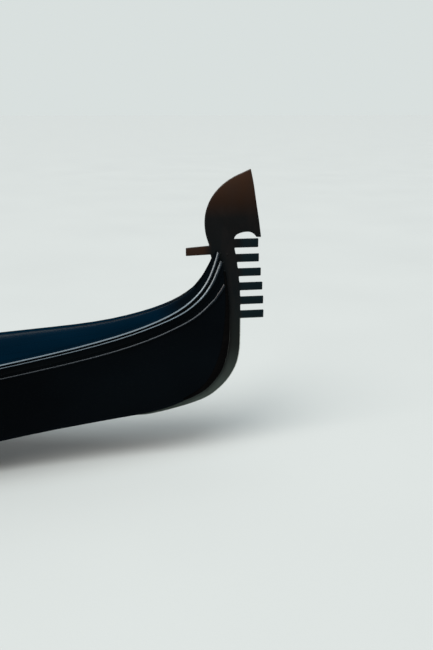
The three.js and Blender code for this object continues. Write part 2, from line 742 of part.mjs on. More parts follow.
function rowlockBlock() {
  const sections = stationsBetween(BLOCK.aft, BLOCK.fore).map((x) => {
    const { y: outer, z: low } = edgeAt("starboard", x, 0, -2 * GAP);
    const inner = outer + BLOCK.width;
    return acrossAt(x, [[outer, low], [inner, low], [inner, blockTop], [outer, blockTop]]);
  });
  const { middle, length, width, depth, clearance } = SHANK;
  const [halfX, halfY] = [length / 2 + clearance, width / 2 + clearance];
  const [low, high] = [blockTop - depth, blockTop + BLOCK.rise];
  const socket = box(middle - halfX, middle + halfX, shankY - halfY, shankY + halfY, low, high);
  return cut(loft(sections, [[0, 0], [1, 0], [1, 1], [0, 1]]), [socket]);
}

function rowlock() {
  const { middle, length, width, depth } = SHANK;
  const half = length / 2;
  const shank = [[-half, GAP], [-half, -depth], [half, -depth], [half, GAP]];
  const outline = [...shank, ...ROWLOCK].map(([dx, dz]) => [middle + dx, blockTop + dz]);
  return upright(outline, shankY, width);
}

// Footrest: a wedge that the rower braces a foot against.
const FOOTREST = { aft: -2930, fore: -2790, half: 160, rise: 90, toe: 12 };

function footrest() {
  const { aft, fore, half, rise, toe } = FOOTREST;
  const foot = HIGH_PLATFORM.top + GAP;
  const wedge = [[aft, foot], [fore, foot], [fore, foot + rise], [aft, foot + toe]];
  return upright(wedge, leanAt(aft), 2 * half);
}

// Assembly
for (const [length, sections] of inLengths(bottomSections(), FIRST_BOTTOM)) {
  add("hull_bottom_" + length, loft(sections, BOARD_OUTLINE), "lacquer");
}
add("stem_timber", endTimber(STEM_FRONT, [LAST_STATION, LAST_BOTTOM]), "timber");
add("stern_timber", endTimber(STERN_FRONT, [0, FIRST_BOTTOM]), "timber");
add("bow_iron", bowIron(), "iron");
add("stern_iron", sternIron(), "iron");
add("bow_deck", deck(...BOW_DECK), "deckLacquer");
add("stern_deck", deck(...STERN_DECK), "deckLacquer");
const bowCoamingAt = Math.min(...deckEnd(BOW_DECK[0])) - COAMING.thickness - GAP;
const sternCoamingAt = Math.max(...deckEnd(STERN_DECK[1])) + GAP;
add("bow_coaming", coaming(bowCoamingAt, FORE_PLATFORM.top + GAP), "timber");
add("stern_coaming", coaming(sternCoamingAt, HIGH_PLATFORM.top + GAP), "timber");
for (const [name, side] of Object.entries(SIDES)) {
  for (const [length, sections] of inLengths(sideSections(name), 0)) {
    add("side_plank_" + name + "_" + length, loft(sections, SIDE_OUTLINE), "lacquer");
  }
  add("gunwale_" + name, gunwale(name), "lacquer");
  add("rub_bead_" + name, rubBead(name), "lacquer");
  add("ribs_" + name, ribSet(name), "timber");
  add("armrest_" + name, armrest(name), "lacquer");
  add("sea_horse_" + name, seaHorse(name), "brass");
  add("chair_" + name, chair(side), "lacquer");
  add("chair_cushion_" + name, chairCushion(side), "velvet");
}
add("floorboards", floorboards(), "boards");
add("fore_platform", platform(FORE_PLATFORM), "boards");
add("low_aft_platform", platform(LOW_PLATFORM), "boards");
add("high_aft_platform", platform(HIGH_PLATFORM), "boards");
for (const [name, x] of Object.entries(THWARTS)) add(name, thwart(x), "timber");
add("seat_base", seatBase(), "lacquer");
add("seat_back", seatBack(), "lacquer");
add("seat_cushion", seatCushion(), "velvet");
add("back_cushion", backCushion(), "velvet");
add("footrest", footrest(), "boards");
add("rowlock_block", rowlockBlock(), "timber");
add("rowlock", rowlock(), "walnut");

export default gondola;
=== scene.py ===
"""Gondola: the finished surfaces, seats and fittings of a long black rowing boat, round its solids.

Metres. +X is the bow, +Y is port, +Z is up, and the floor lies at the waterline, z = 0.
"""

import math
from collections import namedtuple

import bpy
from bpy.props import FloatProperty, FloatVectorProperty, IntProperty, PointerProperty
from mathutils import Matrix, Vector
from mathutils.bvhtree import BVHTree


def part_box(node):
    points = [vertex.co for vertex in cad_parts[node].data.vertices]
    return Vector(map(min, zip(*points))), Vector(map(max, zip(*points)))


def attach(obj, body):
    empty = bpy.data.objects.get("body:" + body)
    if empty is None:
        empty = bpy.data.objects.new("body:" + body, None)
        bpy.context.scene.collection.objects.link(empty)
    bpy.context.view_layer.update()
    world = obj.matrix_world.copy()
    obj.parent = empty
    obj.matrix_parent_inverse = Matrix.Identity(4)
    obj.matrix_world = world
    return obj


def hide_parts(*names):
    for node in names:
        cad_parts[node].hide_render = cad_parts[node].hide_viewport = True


bl_info = {
    "name": "Gondola",
    "version": (1, 0, 0),
    "blender": (4, 5, 0),
    "location": "3D Viewport > Sidebar > Gondola",
    "description": "Finishes the solids of a gondola with planking, boards, cushions, irons and lacquer",
    "category": "Object",
}

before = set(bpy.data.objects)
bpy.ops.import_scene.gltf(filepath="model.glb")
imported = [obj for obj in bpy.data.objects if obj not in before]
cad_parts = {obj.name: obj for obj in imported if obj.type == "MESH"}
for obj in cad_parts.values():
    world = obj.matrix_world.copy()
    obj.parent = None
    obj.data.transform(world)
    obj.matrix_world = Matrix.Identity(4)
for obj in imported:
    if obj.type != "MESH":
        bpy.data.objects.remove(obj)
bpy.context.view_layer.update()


# Sizes and colours that a user would change
def colour(name, description, code):
    """A colour property whose default is given as in a paint list, red, green and blue from 0 to 255."""
    return FloatVectorProperty(
        name=name, description=description, subtype="COLOR", size=3, min=0, max=1, default=linear(code)
    )


def linear(code):
    """Linear red, green and blue of a screen colour."""
    return tuple((c / 255 / 12.92) if c <= 10 else ((c / 255 + 0.055) / 1.055) ** 2.4 for c in code)


def size(name, description, default):
    return FloatProperty(name=name, description=description, default=default, min=0, unit="LENGTH")


class GondolaSizes(bpy.types.PropertyGroup):
    """Sizes of the finished surfaces"""

    bead: size("Bead face", "Radius of the broad faces of the gunwale's two beads", 0.025)
    rub_face: size("Rub bead face", "Radius of the broad face of the lower bead", 0.018)
    edge: size("Edge rounding", "Rounding along the edges of boards and mouldings", 0.003)
    iron_edge: size("Iron edge", "Rounding along the edges of the irons", 0.0045)
    board: size("Board width", "Width of a floor board", 0.112)
    board_gap: size("Board gap", "Gap between two floor boards", 0.005)
    crown: size("Cushion crown", "How far a cushion may swell from its cut shape", 0.022)
    voxel: size("Cushion mesh", "Spacing of the points of a cushion's cloth", 0.0065)
    piping: size("Piping", "Radius of the piping along a cushion's edges", 0.0045)
    button: size("Button", "Radius of a cushion's buttons", 0.011)
    frames: IntProperty(name="Cloth steps", description="Steps of the simulation", default=20, min=1)


class GondolaColours(bpy.types.PropertyGroup):
    """Colours of the finishes"""

    lacquer: colour("Lacquer", "Black lacquer of the sides", (4, 7, 10))
    furniture: colour("Furniture lacquer", "Black lacquer of seats, chairs and coamings", (8, 9, 10))
    # The deck's navy is a painted reflection of blue sky in black lacquer, not a paint of its own.
    deck: colour("Deck lacquer", "Dark navy lacquer of the decks", (0, 16, 28))
    bottom: colour("Bottom paint", "Dull paint under the waterline", (20, 27, 27))
    timber: colour("Timber", "Black-brown paint of stem, ribs and thwarts", (15, 14, 14))
    boards: colour("Boards", "Worn oiled floor boards", (92, 68, 48))
    # The head, teeth and strap colours of the irons are painted reflections: brown as of a brick wall
    # above, blue-green and grey-green as of water below.
    iron_head: colour("Iron head", "Brown-black top of the bow iron", (53, 33, 20))
    iron_teeth: colour("Iron teeth", "Dark blue-green of the prongs", (8, 22, 26))
    iron_strap: colour("Iron strap", "Grey-green strap down the stem", (50, 57, 53))
    # The strap's bright edge colour is a painted highlight, not worn metal.
    iron_highlight: colour("Worn iron", "Rubbed edge of the strap", (205, 210, 202))
    brass: colour("Brass", "Polished brass", (206, 160, 82))
    velvet: colour("Velvet", "Deep red velvet", (104, 12, 20))
    walnut: colour("Walnut", "Oiled walnut of the rowlock", (104, 66, 38))
    floor: colour("Floor", "Plain pale floor", (194, 197, 194))


# Lines of the hull
# A gap keeps two pieces apart, and the bed is how far out the face behind the beads stands.
GAP = 0.0004
PLANK = 0.014
BOTTOM = 0.016
LEAN = 0.09
HALF_LENGTH = 5.4
CAP_WIDTH = 0.052
CAP_SHARE = 0.62
CAP_DEPTH = 0.022
APRON = 0.068
BEAD_DROP = {"along": 0.094, "ends": 0.104, "start": 5.0, "end": 5.16}
BED = 0.0015
BEAD_SPREAD = {"most": 0.014, "start": 4.85, "end": 5.2}
BEAD_BACK = 0.003
ARC_STEP = 14
DECK = {"thickness": 0.014, "crown": 0.034, "drop": 0.004, "crowned_over": 0.5}
EDGE_LEFT = 0.004
SIDES = {"port": 1, "starboard": -1}

# Columns: sheer x, sheer half breadth, sheer z, lower edge x, lower half breadth, lower edge z.
HULL = (
    (-5.279, 0.026, 1.262, -5.314, 0.025, 1.140),
    (-5.270, 0.032, 1.225, -5.324, 0.025, 0.950),
    (-5.248, 0.046, 1.160, -5.316, 0.025, 0.770),
    (-5.208, 0.068, 1.080, -5.282, 0.026, 0.615),
    (-5.140, 0.095, 0.990, -5.200, 0.027, 0.470),
    (-5.020, 0.128, 0.905, -5.070, 0.038, 0.372),
    (-4.850, 0.164, 0.828, -4.890, 0.062, 0.314),
    (-4.600, 0.212, 0.762, -4.600, 0.100, 0.270),
    (-4.200, 0.306, 0.697, -4.200, 0.156, 0.226),
    (-3.400, 0.464, 0.598, -3.400, 0.268, 0.128),
    (-2.700, 0.568, 0.531, -2.700, 0.352, 0.036),
    (-2.000, 0.638, 0.478, -2.000, 0.412, -0.056),
    (-1.000, 0.692, 0.432, -1.000, 0.457, -0.142),
    (0.000, 0.710, 0.420, 0.000, 0.470, -0.170),
    (1.000, 0.690, 0.434, 1.000, 0.456, -0.140),
    (2.000, 0.636, 0.482, 2.000, 0.410, -0.050),
    (2.700, 0.566, 0.538, 2.700, 0.350, 0.050),
    (3.400, 0.460, 0.611, 3.400, 0.265, 0.150),
    (4.200, 0.302, 0.708, 4.200, 0.152, 0.250),
    (4.600, 0.210, 0.765, 4.600, 0.098, 0.287),
    (4.860, 0.160, 0.826, 4.900, 0.060, 0.312),
    (5.040, 0.124, 0.895, 5.080, 0.038, 0.357),
    (5.150, 0.093, 0.970, 5.211, 0.027, 0.442),
    (5.212, 0.066, 1.042, 5.286, 0.026, 0.594),
    (5.246, 0.046, 1.108, 5.314, 0.025, 0.750),
    (5.266, 0.033, 1.160, 5.323, 0.025, 0.920),
    (5.276, 0.026, 1.192, 5.311, 0.025, 1.080),
)
STEPS = 3
Station = namedtuple("Station", "sheer low out down stretch length half")


def between(a, b, c, d, share):
    """Smooth value through four neighbours of a column, at a share between the middle two."""
    s2 = share * share
    s3 = s2 * share
    rise = (c - a) / 2 * (s3 - 2 * s2 + share) + (d - b) / 2 * (s3 - s2)
    return b * (2 * s3 - 3 * s2 + 1) + c * (3 * s2 - 2 * s3) + rise


def hull_row(place):
    last = len(HULL) - 1
    i = min(int(place), last - 1)
    rows = [HULL[max(0, min(last, k))] for k in (i - 1, i, i + 1, i + 2)]
    return [between(*values, place - i) for values in zip(*rows)]


def lean_at(x):
    return LEAN * (1 - (x / HALF_LENGTH) ** 2) ** 2


def make_stations(side):
    """Stations of one side: sheer and lower points, the level way out and the way down the plank."""
    rows = [hull_row(i / STEPS) for i in range((len(HULL) - 1) * STEPS + 1)]
    sheers = [Vector((x, side * y + lean_at(x), z)) for x, y, z, _, _, _ in rows]
    lows = [Vector((x, side * y + lean_at(x), z)) for _, _, _, x, y, z in rows]
    made = []
    for i, (sheer, low) in enumerate(zip(sheers, lows)):
        along = (sheers[min(i + 1, len(rows) - 1)] - sheers[max(i - 1, 0)]).normalized()
        out = Vector((-along.y, along.x, 0)).normalized() * side
        down = (low - sheer).normalized()
        across = (down - along * down.dot(along)).length
        made.append(Station(sheer, low, out, down, 1 / across, (low - sheer).length, rows[i][1]))
    return made


STATIONS = {name: make_stations(side) for name, side in SIDES.items()}
LAST = len(STATIONS["port"]) - 1


def on_side(station, outward, downward):
    """A point of the side: outward from the plank's face, and down it from the sheer."""
    drop = min(downward * station.stretch, station.length - EDGE_LEFT)
    return station.sheer + station.out * outward + station.down * drop


def cap_width(half):
    return min(CAP_WIDTH, CAP_SHARE * half)


def towards_end(station, start, end):
    """A smooth step from 0 to 1 as a station comes nearer either end of the boat."""
    share = max(0.0, min(1.0, (abs(station.sheer.x) - start) / (end - start)))
    return share * share * (3 - 2 * share)


def bead_drop(station):
    share = towards_end(station, BEAD_DROP["start"], BEAD_DROP["end"])
    return BEAD_DROP["along"] + (BEAD_DROP["ends"] - BEAD_DROP["along"]) * share


def bead_spread(station):
    """How much further the gunwale's second bead lies below the first, towards the ends."""
    return BEAD_SPREAD["most"] * towards_end(station, BEAD_SPREAD["start"], BEAD_SPREAD["end"])


def moulding(back, outward, downward, *arcs):
    """A bead's section: arcs that run on from each other, closed by a straight back.

    Each arc has its radius and the ways that it faces first and last, in degrees: 90 is up and 0 outward.
    """
    points = [(outward, downward)]
    for radius, first, last in arcs:
        steps = max(2, round(abs(first - last) / ARC_STEP))
        turns = [math.radians(first + (last - first) * i / steps) for i in range(steps + 1)]
        out, down = points[-1]
        out -= radius * math.cos(turns[0])
        down += radius * math.sin(turns[0])
        points += [(out + radius * math.cos(turn), down - radius * math.sin(turn)) for turn in turns[1:]]
    return [(back, points[-1][1]), (back, downward + BEAD_BACK), *points]


# Modelling steps
# Points this near are one: in a solid's copy, and where a rounding meets itself.
SAME_POINT = {"copy": 0.00002, "rounding": 0.000002}
# Degrees between two faces: up to the first they are one, and from the second on their edge is sharp.
FLAT = 0.4
SHARP = 35


def only(piece):
    bpy.ops.object.select_all(action="DESELECT")
    piece.select_set(True)
    bpy.context.view_layer.objects.active = piece


def edit(piece, kind, test):
    """Opens a piece in edit mode, with only the faces or edges that pass a test selected."""
    mesh = piece.data
    kinds = {"VERT": mesh.vertices, "EDGE": mesh.edges, "FACE": mesh.polygons}
    for parts in kinds.values():
        parts.foreach_set("select", [False] * len(parts))
    for part in kinds[kind]:
        part.select = test(part)
    bpy.context.tool_settings.mesh_select_mode = [kind == k for k in kinds]
    only(piece)
    bpy.ops.object.mode_set(mode="EDIT")


def close():
    bpy.ops.object.mode_set(mode="OBJECT")


def every(_part):
    return True


def apply(piece, kind, **settings):
    """Adds a modifier and applies it."""
    only(piece)
    modifier = piece.modifiers.new(kind.title(), kind)
    for key, value in settings.items():
        setattr(modifier, key, value)
    bpy.ops.object.modifier_apply(modifier=modifier.name)


def face_out(piece):
    edit(piece, "FACE", every)
    bpy.ops.mesh.normals_make_consistent(inside=False)
    close()


def shade(piece, angle):
    only(piece)
    bpy.ops.object.shade_smooth_by_angle(angle=math.radians(angle))


def round_edges(piece, width, segments):
    angle = math.radians(SHARP)
    apply(piece, "BEVEL", width=width, segments=segments, limit_method="ANGLE", angle_limit=angle)
    edit(piece, "FACE", every)
    bpy.ops.mesh.remove_doubles(threshold=SAME_POINT["rounding"])
    close()
    shade(piece, SHARP)


def copy_of(node, name):
    """A plain solid's copy, its points merged and its flat faces whole, ready to be shaped."""
    piece = bpy.data.objects.new(name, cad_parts[node].data.copy())
    piece.data.name = name
    bpy.context.scene.collection.objects.link(piece)
    edit(piece, "FACE", every)
    bpy.ops.mesh.customdata_custom_splitnormals_clear()
    bpy.ops.mesh.remove_doubles(threshold=SAME_POINT["copy"])
    bpy.ops.mesh.dissolve_limited(angle_limit=math.radians(FLAT))
    close()
    return piece


def corners(piece):
    """Lowest and highest value on each axis."""
    axes = list(zip(*(point.co for point in piece.data.vertices)))
    return [min(values) for values in axes], [max(values) for values in axes]


def name_piece(name):
    piece = bpy.context.object
    piece.name = piece.data.name = name
    return piece


def loft(name, sections):
    """A cylinder cut into rings, with each ring moved onto one section of the shape."""
    count, rings = len(sections[0]), len(sections)
    bpy.ops.mesh.primitive_cylinder_add(vertices=count, depth=rings - 1, end_fill_type="NGON")
    piece = name_piece(name)
    points = piece.data.vertices
    edit(piece, "EDGE", lambda edge: points[edge.vertices[0]].co.z != points[edge.vertices[1]].co.z)
    if rings > 2:
        bpy.ops.mesh.subdivide(number_cuts=rings - 2)
    close()
    for point in piece.data.vertices:
        ring = round(point.co.z + (rings - 1) / 2)
        step = round(math.atan2(point.co.x, point.co.y) / math.tau * count) % count
        point.co = sections[ring][step]
    face_out(piece)
    return piece


def settle():
    """Moves what the object's own place, turn and scale say into its mesh."""
    bpy.ops.object.transform_apply(location=True, rotation=True, scale=True)


def block(name, low, high):
    """A box between two corners."""
    low, high = Vector(low), Vector(high)
    bpy.ops.mesh.primitive_cube_add(size=1, location=(low + high) / 2, scale=high - low)
    settle()
    return name_piece(name)


def ball(name, centre, radii, segments, rings):
    bpy.ops.mesh.primitive_uv_sphere_add(
        segments=segments, ring_count=rings, location=centre, scale=radii
    )
    settle()
    return name_piece(name)


def tube(name, points, radii, cyclic=False, resolution=2):
    """A round bar along a line, with its own radius at each point."""
    curve = bpy.data.curves.new(name, "CURVE")
    curve.dimensions = "3D"
    curve.bevel_depth = 1
    curve.bevel_resolution = resolution
    curve.use_fill_caps = True
    line = curve.splines.new("POLY")
    line.points.add(len(points) - 1)
    for point, place, radius in zip(line.points, points, radii):
        point.co = (*place, 1)
        point.radius = radius
    line.use_cyclic_u = cyclic
    piece = bpy.data.objects.new(name, curve)
    bpy.context.scene.collection.objects.link(piece)
    only(piece)
    bpy.ops.object.convert(target="MESH")
    return name_piece(name)


def joined(name, pieces):
    bpy.ops.object.select_all(action="DESELECT")
    for piece in pieces:
        piece.select_set(True)
    bpy.context.view_layer.objects.active = pieces[0]
    if len(pieces) > 1:
        bpy.ops.object.join()
    return name_piece(name)


def dress(piece, *finishes):
    """Gives a piece its finishes. Faces wear the first until they are painted."""
    piece.data.materials.clear()
    for finish in finishes:
        piece.data.materials.append(finish_of(finish))


def paint_faces(piece, test):
    """Gives a piece's second finish to the faces that pass a test."""
    for face in piece.data.polygons:
        if test(face):
            face.material_index = 1


def fit(piece, finish, slot, *nodes, body="boat"):
    """Gives a piece its finish, if it has only one, and its body, and hides the solids that it stands
    for.
    """
    only(piece)
    settle()
    if finish is not None:
        dress(piece, finish)
    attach(piece, body)
    if nodes:
        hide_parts(*nodes)


def nodes_named(start):
    """The solids whose names start alike, such as the lengths of one plank."""
    return sorted(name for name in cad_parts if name.startswith(start))


# Finishes
def mixed(tree, share, first, second):
    """A mix of two colours. Share and colours are values or links."""
    mixer = tree.nodes.new("ShaderNodeMix")
    mixer.data_type = "RGBA"
    sockets = {socket.identifier: socket for socket in mixer.inputs}
    for key, value in (("Factor_Float", share), ("A_Color", first), ("B_Color", second)):
        if isinstance(value, bpy.types.NodeSocket):
            tree.links.new(value, sockets[key])
        else:
            sockets[key].default_value = value if key == "Factor_Float" else (*value, 1)
    return next(socket for socket in mixer.outputs if socket.identifier == "Result_Color")


def shaded(tone, factor):
    return tuple(min(1.0, c * factor) for c in tone)


class Finish:
    """A procedural material on object coordinates, built node by node."""

    def __init__(self, name, **values):
        self.material = bpy.data.materials.new(name)
        self.material.use_nodes = True
        self.tree = self.material.node_tree
        self.shader = self.tree.nodes["Principled BSDF"]
        self.place = self.add("TexCoord").outputs["Object"]
        for key, value in values.items():
            self.shader.inputs[key.replace("_", " ")].default_value = value

    def add(self, kind, inputs=None, **settings):
        """A shader node with its settings, and its inputs as values or links."""
        made = self.tree.nodes.new("ShaderNode" + kind)
        for key, value in settings.items():
            setattr(made, key, value)
        for key, value in (inputs or {}).items():
            if isinstance(value, bpy.types.NodeSocket):
                self.tree.links.new(value, made.inputs[key])
            else:
                made.inputs[key].default_value = value
        return made

    def noise(self, scale, stretch=(1, 1, 1), detail=4, roughness=0.5):
        vector = self.add("Mapping", {"Vector": self.place, "Scale": stretch}).outputs["Vector"]
        values = {"Vector": vector, "Scale": scale, "Detail": detail, "Roughness": roughness}
        return self.add("TexNoise", values).outputs["Fac"]

    def axis(self, letter, normal=False):
        vector = self.add("TexCoord").outputs["Normal"] if normal else self.place
        return self.add("SeparateXYZ", {"Vector": vector}).outputs[letter]

    def math(self, operation, first, second=0.0):
        return self.add("Math", {0: first, 1: second}, operation=operation).outputs[0]

    def times(self, product, *others):
        for value in others:
            product = self.math("MULTIPLY", product, value)
        return product

    def ranged(self, value, low, high, to_low=0.0, to_high=1.0):
        inputs = {"Value": value, "From Min": low, "From Max": high, "To Min": to_low, "To Max": to_high}
        return self.add("MapRange", inputs).outputs["Result"]

    def ramp(self, value, *stops):
        """Colours along a value. Each stop is a place and a colour."""
        made = self.add("ValToRGB", {"Fac": value})
        elements = made.color_ramp.elements
        while len(elements) < len(stops):
            elements.new(1.0)
        for element, (place, tone) in zip(elements, stops):
            element.position = place
            element.color = (*tone, 1)
        return made.outputs["Color"]

    def shades(self, value, tone, *stops):
        """One colour's shades along a value. Each stop is a place and how bright it is there."""
        return self.ramp(value, *((place, shaded(tone, factor)) for place, factor in stops))

    def mix(self, share, first, second):
        return mixed(self.tree, share, first, second)

    def bump(self, height, distance, under=None):
        inputs = {"Height": height, "Distance": distance, "Strength": 1.0}
        if under is not None:
            inputs["Normal"] = under
        return self.add("Bump", inputs).outputs["Normal"]

    def done(self, tone, rough, normal):
        """Wires the shader up. A finish that is equally rough all over has no link for it."""
        for key, value in {"Base Color": tone, "Roughness": rough, "Normal": normal}.items():
            if value is not None:
                self.tree.links.new(value, self.shader.inputs[key])
        return self.material


# Columns: colour, share of it, specular level, roughness, tint of what it mirrors.
LACQUERS = {
    "black_lacquer": ("lacquer", 1, 0.035, 0.14, (1, 1, 1)),
    # The bead and rub lacquers are brighter, glossier copies of the side's lacquer for the mouldings'
    # upward faces: a painted highlight. The bead lacquer's blue tint on what it mirrors stands in for a
    # blue sky: a painted reflection.
    "bead_lacquer": ("lacquer", 2, 0.9, 0.2, (0.82, 0.94, 1)),
    "rub_lacquer": ("lacquer", 2, 0.5, 0.24, (1, 1, 1)),
    "furniture_lacquer": ("furniture", 1, 0.3, 0.2, (1, 1, 1)),
}
# Columns: share of the timber's colour, specular level.
TIMBERS = {"painted_timber": (1, 0.1), "tarred_timber": (0.4, 0.04)}
# Whether the boards run along the boat.
BOARDS = {"boards_along": True, "boards_across": False}


def lacquer(name, colours):
    """Brushed and polished lacquer: faint brush marks, dust specks and slow waves in the gloss."""
    key, share, specular, rough, mirrored = LACQUERS[name]
    made = Finish(name, Specular_IOR_Level=specular, Specular_Tint=(*mirrored, 1))
    brush = made.noise(30, (0.12, 4, 4), detail=6)
    cloud = made.noise(2.2, (0.6, 1, 1), detail=3)
    tint = made.shades(cloud, shaded(getattr(colours, key), share), (0.3, 0.75), (0.7, 1.35))
    speck = made.ranged(made.noise(260, detail=2), 0.66, 0.74)
    specked = made.mix(made.times(speck, 0.1), tint, linear((70, 72, 70)))
    gloss = made.ranged(made.math("ADD", brush, cloud), 0.7, 1.3, rough * 0.8, rough * 1.35)
    return made.done(specked, gloss, made.bump(brush, 0.00012, made.bump(cloud, 0.0012)))


def deck_lacquer(name, colours):
    """Black lacquer over narrow deck boards, whose seams just show, with a painted navy reflection of sky
    that gives way to plain black where the ends rise.
    """
    made = Finish(name, Specular_IOR_Level=0.03)
    tone = colours.deck
    cloud = made.noise(1.6, (0.5, 1, 1))
    brush = made.noise(36, (0.1, 3, 3), detail=6)
    seam = made.ranged(made.math("PINGPONG", made.axis("Y"), 0.045), 0.0, 0.0022, 1.0, 0.0)
    tint = made.shades(cloud, tone, (0.3, 0.7), (0.72, 1.5))
    seamed = made.mix(made.times(seam, 0.6), tint, shaded(tone, 0.25))
    # Where the deck rises at either end, the painted navy reflection fades into plain black lacquer.
    ends = made.ranged(made.math("ABSOLUTE", made.axis("X")), 4.93, 5.07)
    gloss = made.ranged(made.math("ADD", brush, cloud), 0.7, 1.3, 0.16, 0.3)
    groove = made.bump(made.math("SUBTRACT", 1.0, seam), 0.0004, made.bump(cloud, 0.0015))
    return made.done(made.mix(ends, seamed, colours.lacquer), gloss, made.bump(brush, 0.0001, groove))


def bottom_paint(name, colours):
    """Dull paint with scuffs and green patches."""
    made = Finish(name, Specular_IOR_Level=0.25)
    tone = colours.bottom
    patches = made.noise(5, (0.5, 1, 1), detail=8, roughness=0.65)
    fine = made.noise(120, detail=5)
    tint = made.ramp(patches, (0.3, shaded(tone, 0.6)), (0.55, tone), (0.75, linear((40, 52, 44))))
    return made.done(tint, made.ranged(patches, 0.3, 0.7, 0.55, 0.85), made.bump(fine, 0.0004))


def timber(name, colours):
    """Satin paint over open grain, paler where the grain stands up."""
    share, specular = TIMBERS[name]
    made = Finish(name, Specular_IOR_Level=specular)
    grain = made.noise(18, (0.6, 6, 6), detail=8, roughness=0.6)
    tint = made.shades(grain, shaded(colours.timber, share), (0.35, 0.55), (0.62, 1), (0.82, 2.6))
    rough = made.ranged(made.noise(4, detail=5), 0.3, 0.7, 0.38, 0.6)
    return made.done(tint, rough, made.bump(grain, 0.0006))


def boards(name, colours):
    """Oiled boards, each of its own tone, with grain along it and paler worn patches."""
    made = Finish(name, Specular_IOR_Level=0.35)
    tone = colours.boards
    lengthwise = BOARDS[name]
    side = made.axis("Y" if lengthwise else "X")
    index = made.math("FLOOR", made.math("DIVIDE", side, bpy.context.scene.gondola_sizes.board))
    tint = made.add("TexWhiteNoise", {"W": index}, noise_dimensions="1D").outputs["Value"]
    stretch = (1.2, 14, 14) if lengthwise else (14, 1.2, 14)
    grain = made.noise(9, stretch, detail=8, roughness=0.62)
    wood = made.shades(grain, tone, (0.3, 0.38), (0.5, 0.85), (0.74, 1.45))
    toned = made.mix(made.times(tint, 0.5), wood, shaded(tone, 0.5))
    worn = made.ranged(made.noise(2.4, stretch, detail=2), 0.5, 0.7, 0.0, 0.35)
    rough = made.ranged(grain, 0.3, 0.7, 0.62, 0.42)
    return made.done(made.mix(worn, toned, shaded(tone, 1.7)), rough, made.bump(grain, 0.0007))


def iron_tone(made, colours):
    """Colour of the irons by height, all painted reflection: a grey-green strap and blue-black middle as
    of mirrored water, and a brown head as of a mirrored brick wall.
    """
    head, teeth, strap = colours.iron_head, colours.iron_teeth, colours.iron_strap
    place, level = made.axis("X"), made.axis("Z")
    height = made.ranged(level, 0.25, 1.65)
    tone = made.ramp(
        height,
        (0.03, shaded(strap, 1.6)),
        (0.13, shaded(strap, 1.15)),
        (0.28, shaded(strap, 0.28)),
        (0.50, shaded(teeth, 0.5)),
        (0.80, linear((14, 14, 14))),
        (0.86, shaded(head, 0.42)),
        (0.97, head),
    )
    # The prongs take the blue-green painted reflection, and the roots behind them a darker brown one.
    at_teeth = made.times(made.ranged(place, 5.40, 5.43), made.ranged(level, 1.262, 1.25))
    toothed = made.mix(at_teeth, tone, teeth)
    at_prong = made.times(made.ranged(level, 1.10, 1.15), made.ranged(level, 1.25, 1.23))
    behind = made.times(made.ranged(place, 5.25, 5.20), made.ranged(place, 0.0, 1.0))
    return height, made.mix(made.times(behind, at_prong), toothed, shaded(head, 0.6))


def dark_iron(name, colours):
    """Oiled iron with rust stains and fine pits, over the painted reflections of the irons' colour by
    height.
    """
    made = Finish(name, Specular_IOR_Level=0.12)
    _, toned = iron_tone(made, colours)
    pits = made.noise(160, detail=5, roughness=0.6)
    stain = made.noise(7, (1, 1, 0.4), detail=6, roughness=0.6)
    stained = made.mix(made.ranged(stain, 0.5, 0.78, 0.0, 0.45), toned, linear((34, 24, 20)))
    return made.done(stained, made.ranged(stain, 0.3, 0.7, 0.36, 0.56), made.bump(pits, 0.0003))


def rubbed_iron(name, colours):
    """The irons' rounded edges: a painted highlight low on the strap, brightest where the edge looks
    ahead and broken by scuffs, and dark above with the irons' painted reflections.
    """
    made = Finish(name, Specular_IOR_Level=0.35)
    height, toned = iron_tone(made, colours)
    scuff = made.noise(40, detail=6, roughness=0.7)
    # worn is the painted highlight's share: low on the strap, on faces that look ahead, broken by scuffs.
    low = made.times(made.ranged(height, 0.42, 0.32), made.ranged(height, 0.02, 0.24, 0.35, 1.0))
    ahead = made.ranged(made.axis("X", normal=True), -0.3, 0.3, 0.12, 1.0)
    worn = made.times(low, ahead, made.ranged(scuff, 0.35, 0.6, 0.6, 1.0))
    rough = made.ranged(scuff, 0.3, 0.7, 0.3, 0.5)
    return made.done(made.mix(worn, toned, colours.iron_highlight), rough, made.bump(scuff, 0.0002))


def brass(name, colours):
    """Cast brass, dark where it has tarnished."""
    made = Finish(name, Metallic=1.0)
    stain = made.noise(26, detail=6, roughness=0.6)
    tint = made.shades(stain, colours.brass, (0.3, 0.35), (0.52, 1), (0.75, 1.15))
    rough = made.ranged(stain, 0.3, 0.7, 0.42, 0.2)
    return made.done(tint, rough, made.bump(made.noise(300, detail=3), 0.0002))


def red_velvet(name, colours):
    """Short pile that lies this way and that, brighter at a glancing angle."""
    tone = colours.velvet
    sheen = {"Sheen_Weight": 0.7, "Sheen_Roughness": 0.35, "Sheen_Tint": (*shaded(tone, 4.0), 1)}
    made = Finish(name, Roughness=0.95, Specular_IOR_Level=0.1, **sheen)
    nap, pile = made.noise(9), made.noise(900, detail=2)
    tint = made.shades(nap, tone, (0.3, 0.88), (0.7, 1.1))
    napped = made.mix(made.ranged(pile, 0.35, 0.7, 0.0, 0.35), tint, shaded(tone, 0.4))
    return made.done(napped, None, made.bump(pile, 0.0005, made.bump(nap, 0.0004)))


